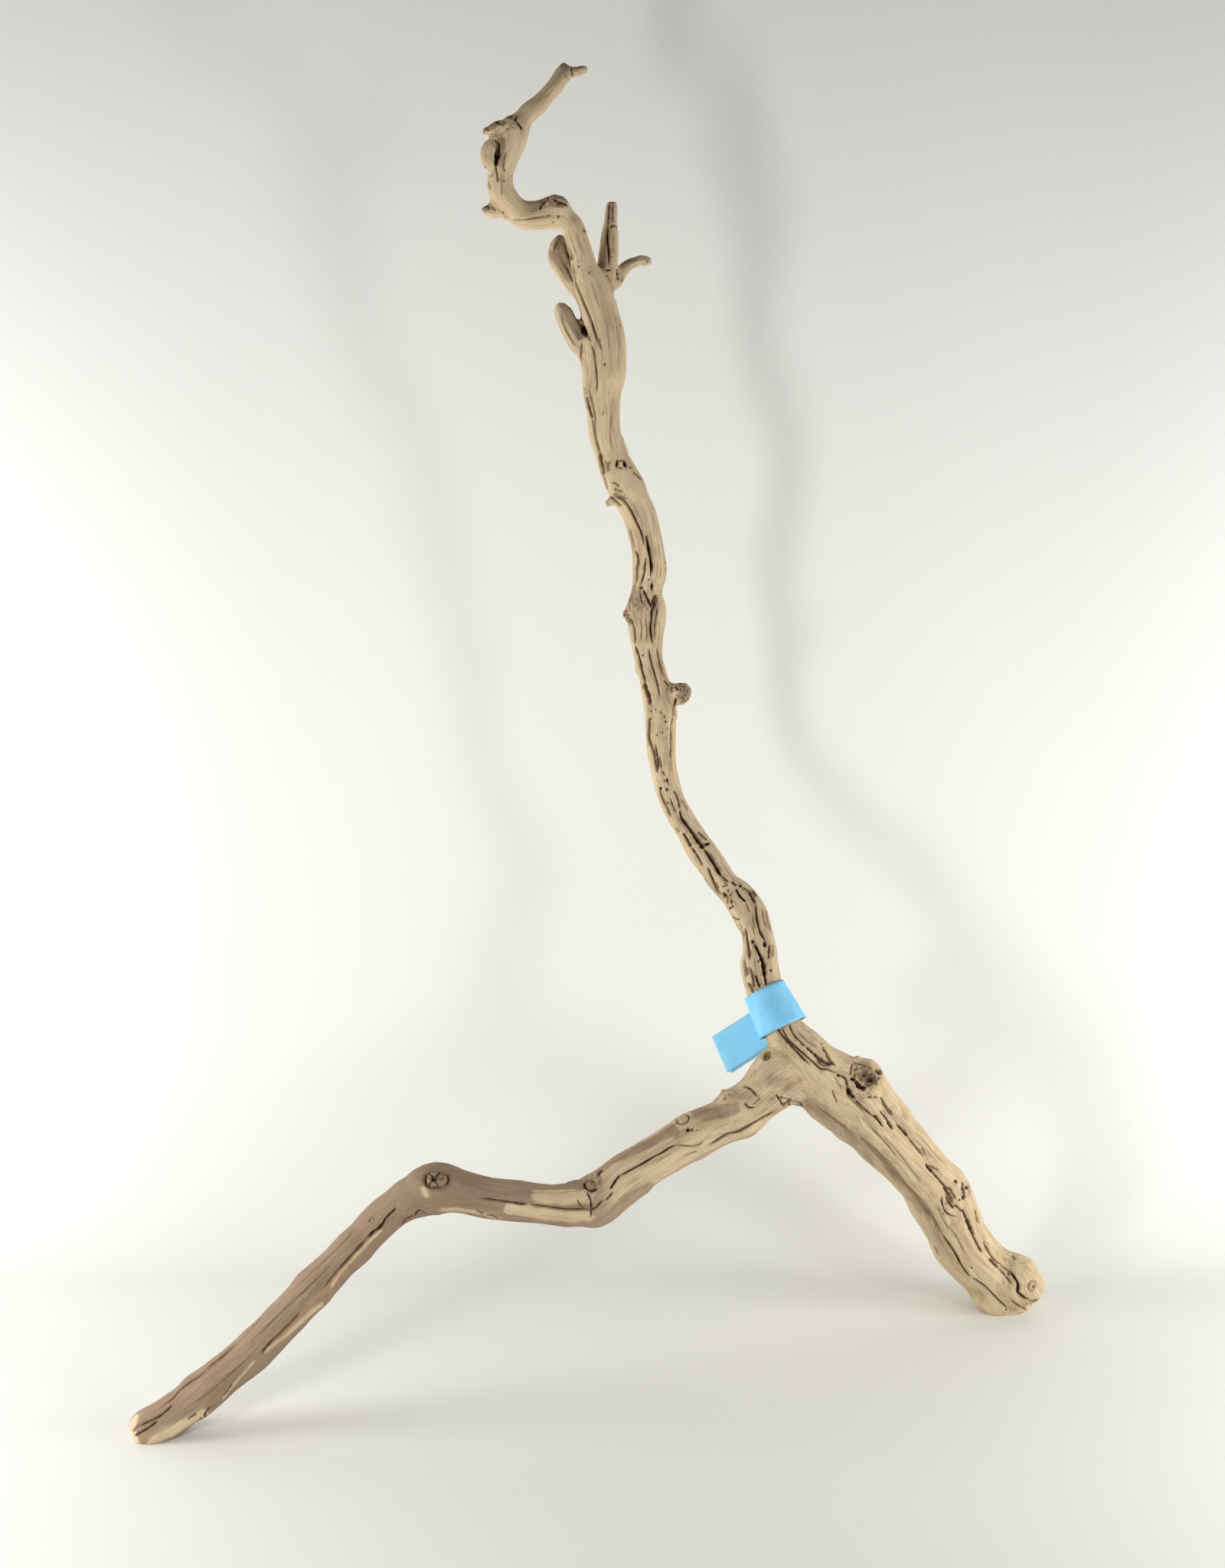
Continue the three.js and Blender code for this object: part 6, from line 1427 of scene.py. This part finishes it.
def band_sheet(p):
    """A closed thin sheet round a grid of points, slightly uneven as paper is."""
    du, dv = np.gradient(p, axis=0), np.gradient(p, axis=1)
    nrm = unit(np.cross(du, dv))
    p = p + nrm * (noise3(p.reshape(-1, 3) / 19.0, 31).reshape(p.shape[:2]) * 0.3)[..., None]
    a, b = p + nrm * SHEET / 2, p - nrm * SHEET / 2
    n, r = p.shape[:2]
    v = np.concatenate([a.reshape(-1, 3), b.reshape(-1, 3)])
    i, j = np.meshgrid(np.arange(n - 1), np.arange(r - 1), indexing="ij")
    q = np.stack([i * r + j, (i + 1) * r + j, (i + 1) * r + j + 1, i * r + j + 1], -1).reshape(-1, 4)
    rim = [[k * r, (k + 1) * r] for k in range(n - 1)] + [[(k + 1) * r + r - 1, k * r + r - 1] for k in range(n - 1)]
    rim += [[k + 1, k] for k in range(r - 1)] + [[(n - 1) * r + k, (n - 1) * r + k + 1] for k in range(r - 1)]
    faces = q.tolist() + (q[:, ::-1] + n * r).tolist() + [[e[1], e[0], e[0] + n * r, e[1] + n * r] for e in rim]
    return v, faces, len(q) * 2


def flag_grid(along, lower, behind):
    """The flag's plane at distances from its root, moved down and back."""
    return FLAG_AT + along[:, None, None] * FLAG_ALONG + (height[None, :, None] - lower[:, None, None]) * FLAG_UP + behind[:, None, None] * FLAG_BEHIND


# from the flag's end, along the flag, round the back, the right, the front and the left
first = math.acos(-12.4 / 17.3)
ang = np.linspace(first, first - math.radians(351), 110)
ring = np.stack([LOOP_HALF[0] * np.cos(ang), LOOP_HALF[1] * np.sin(ang)], -1)
ring *= 1 - 0.04 * ease(first - ang, math.radians(290), math.radians(350))[:, None]  # the end is tucked inside
gone = np.r_[0, np.cumsum(np.linalg.norm(np.diff(ring, axis=0), axis=1))]
k = 1 - height * FLARE / BAND_WIDTH
loop_grid = LOOP_AT + (ring[:, :1] * k)[..., None] * ACROSS + (ring[:, 1:] * k)[..., None] * BACK + height[None, :, None] * LOOP_UP
share = ease(gone, 0.0, 14.0)[:, None, None]
loop_grid = (1 - share) * flag_grid(-gone, np.zeros(len(gone)), np.zeros(len(gone))) + share * loop_grid
out = np.linspace(FLAG_LENGTH, 0, 22)[:-1]
curl = 0.9 * (out / FLAG_LENGTH) ** 2
v1, f1, flat1 = band_sheet(np.concatenate([flag_grid(out, np.zeros(21), curl), loop_grid]))
out = np.linspace(FLAG_LENGTH - 2.5, 2.0, 20)
v2, f2, flat2 = band_sheet(flag_grid(out, np.full(20, 1.5), 0.6 + 0.9 * (out / FLAG_LENGTH) ** 2 + 0.012 * out))
tag_mesh = bpy.data.meshes.new("paper_band_sheet")
tag_mesh.from_pydata((np.concatenate([v1, v2]) * 1e-3).tolist(), [], f1 + [[i + len(v1) for i in f] for f in f2])
tag_mesh.update()
rim = tag_mesh.attributes.new("rim", "FLOAT", "FACE")
rim.data.foreach_set("value", np.r_[np.zeros(flat1), np.ones(len(f1) - flat1), np.zeros(flat2), np.ones(len(f2) - flat2)].astype(np.float32))
smooth_faces = np.r_[np.ones(flat1, bool), np.zeros(len(f1) - flat1, bool), np.ones(flat2, bool), np.zeros(len(f2) - flat2, bool)]
tag_mesh.polygons.foreach_set("use_smooth", smooth_faces)
tag = bpy.data.objects.new("paper_band", tag_mesh)
bpy.context.scene.collection.objects.link(tag)


def paper_material():
    m = bpy.data.materials.new("blue_paper")
    m.use_nodes = True
    m.node_tree.nodes.clear()
    n = Nodes(m.node_tree)
    place = n.add("ShaderNodeTexCoord").outputs["Object"]
    cloud = n.noise(place, 60.0, 4.0, 0.6)
    fibre = n.noise(n.scale(place, (1.0, 1.0, 2.2)), 900.0, 3.0, 0.6)
    c = n.mix(n.remap(cloud, 0.3, 0.7), lin(124, 198, 236), lin(140, 209, 243))
    c = n.mix(n.remap(fibre, 0.55, 0.75, 0.0, 0.25), c, lin(172, 223, 246))
    c = n.mix(n.add("ShaderNodeAttribute", attribute_name="rim").outputs["Fac"], c, lin(206, 232, 243))
    h = n.math("ADD", n.math("MULTIPLY", fibre, 0.35), cloud)
    bump = n.add("ShaderNodeBump", {"Strength": 0.25, "Distance": 0.0004, "Height": h}).outputs[0]
    b = n.add("ShaderNodeBsdfPrincipled", {"Base Color": c, "Roughness": n.remap(fibre, 0.3, 0.7, 0.5, 0.68, False), "Normal": bump, "Specular IOR Level": 0.35})
    n.add("ShaderNodeOutputMaterial", {"Surface": b.outputs[0]})
    return m


tag_mesh.materials.append(paper_material())
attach(tag, "root")
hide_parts("paper_tag")

# ------------------------------------------------------------------------------- floor, light, camera
WALL, BEND = 0.25, 0.10  # where the card stands up behind the wood, and the radius of its bend
prof = [(-6.0, 0.0), (WALL - BEND, 0.0)] + [(WALL - BEND + BEND * math.sin(a), BEND - BEND * math.cos(a)) for a in np.linspace(0, math.pi / 2, 24)[1:]] + [(WALL, 3.6)]
sv = [(x, y, zz) for y, zz in prof for x in (-5.0, 5.0)]
sf = [(2 * i, 2 * i + 1, 2 * i + 3, 2 * i + 2) for i in range(len(prof) - 1)]
sweep = bpy.data.meshes.new("sweep")
sweep.from_pydata(sv, [], sf)
sweep.polygons.foreach_set("use_smooth", np.ones(len(sf), bool))
floor = bpy.data.objects.new("sweep", sweep)
bpy.context.scene.collection.objects.link(floor)
fm = bpy.data.materials.new("white_card")
fm.use_nodes = True
fb = fm.node_tree.nodes["Principled BSDF"]
fb.inputs["Base Color"].default_value = (0.80, 0.80, 0.76, 1)
fb.inputs["Roughness"].default_value = 0.7
fb.inputs["Specular IOR Level"].default_value = 0.1
# the card shows on its lit side only, so that the wood can be looked at from behind it
card = Nodes(fm.node_tree)
behind = card.add("ShaderNodeNewGeometry").outputs["Backfacing"]
one_sided = card.add("ShaderNodeMixShader", {0: behind, 1: fb.outputs[0], 2: card.add("ShaderNodeBsdfTransparent").outputs[0]})
fm.node_tree.links.new(one_sided.outputs[0], fm.node_tree.nodes["Material Output"].inputs[0])
sweep.materials.append(fm)

world = bpy.data.worlds.new("studio")
world.use_nodes = True
world.node_tree.nodes["Background"].inputs[0].default_value = (1.0, 1.0, 1.0, 1)
world.node_tree.nodes["Background"].inputs[1].default_value = 0.156
bpy.context.scene.world = world


def soft_light(name, at, aim, size, power, colour=(1, 1, 1)):
    d = bpy.data.lights.new(name, "AREA")
    d.shape, d.size, d.size_y, d.energy, d.color = "RECTANGLE", size[0], size[1], power, colour
    o = bpy.data.objects.new(name, d)
    bpy.context.scene.collection.objects.link(o)
    from mathutils import Vector

    o.location = at
    o.rotation_euler = (Vector(aim) - Vector(at)).to_track_quat("-Z", "Y").to_euler()
    return o


soft_light("left_side", (-1.05, -0.15, 0.50), (0.0, 0.2, 0.42), (0.45, 0.7), 4.5)
soft_light("right_side", (1.09, -0.15, 0.50), (0.0, 0.2, 0.42), (0.45, 0.7), 2.1)
soft_light("left_low", (-1.0, -0.25, 0.30), (0.0, 0.2, 0.30), (0.35, 0.5), 3.1)
soft_light("right_low", (1.04, -0.25, 0.30), (0.0, 0.2, 0.30), (0.35, 0.5), 4.1)
soft_light("left_front", (-0.60, -0.85, 0.40), (0.0, 0.25, 0.40), (0.14, 0.28), 3.8)
soft_light("right_front", (0.83, -0.70, 0.45), (0.0, 0.25, 0.40), (0.14, 0.28), 2.5)

cam_data = bpy.data.cameras.new("front")
cam_data.sensor_fit = "HORIZONTAL"
cam_data.sensor_width = 36.0
cam_data.lens = FOCAL / FRAME_W * 36.0
cam_data.clip_end = 50.0
camera = bpy.data.objects.new("front", cam_data)
bpy.context.scene.collection.objects.link(camera)
camera.location = EYE * 1e-3
camera.rotation_euler = (math.pi / 2 - PITCH, 0.0, 0.0)
bpy.context.scene.camera = camera
bpy.context.scene.view_settings.view_transform = "Standard"
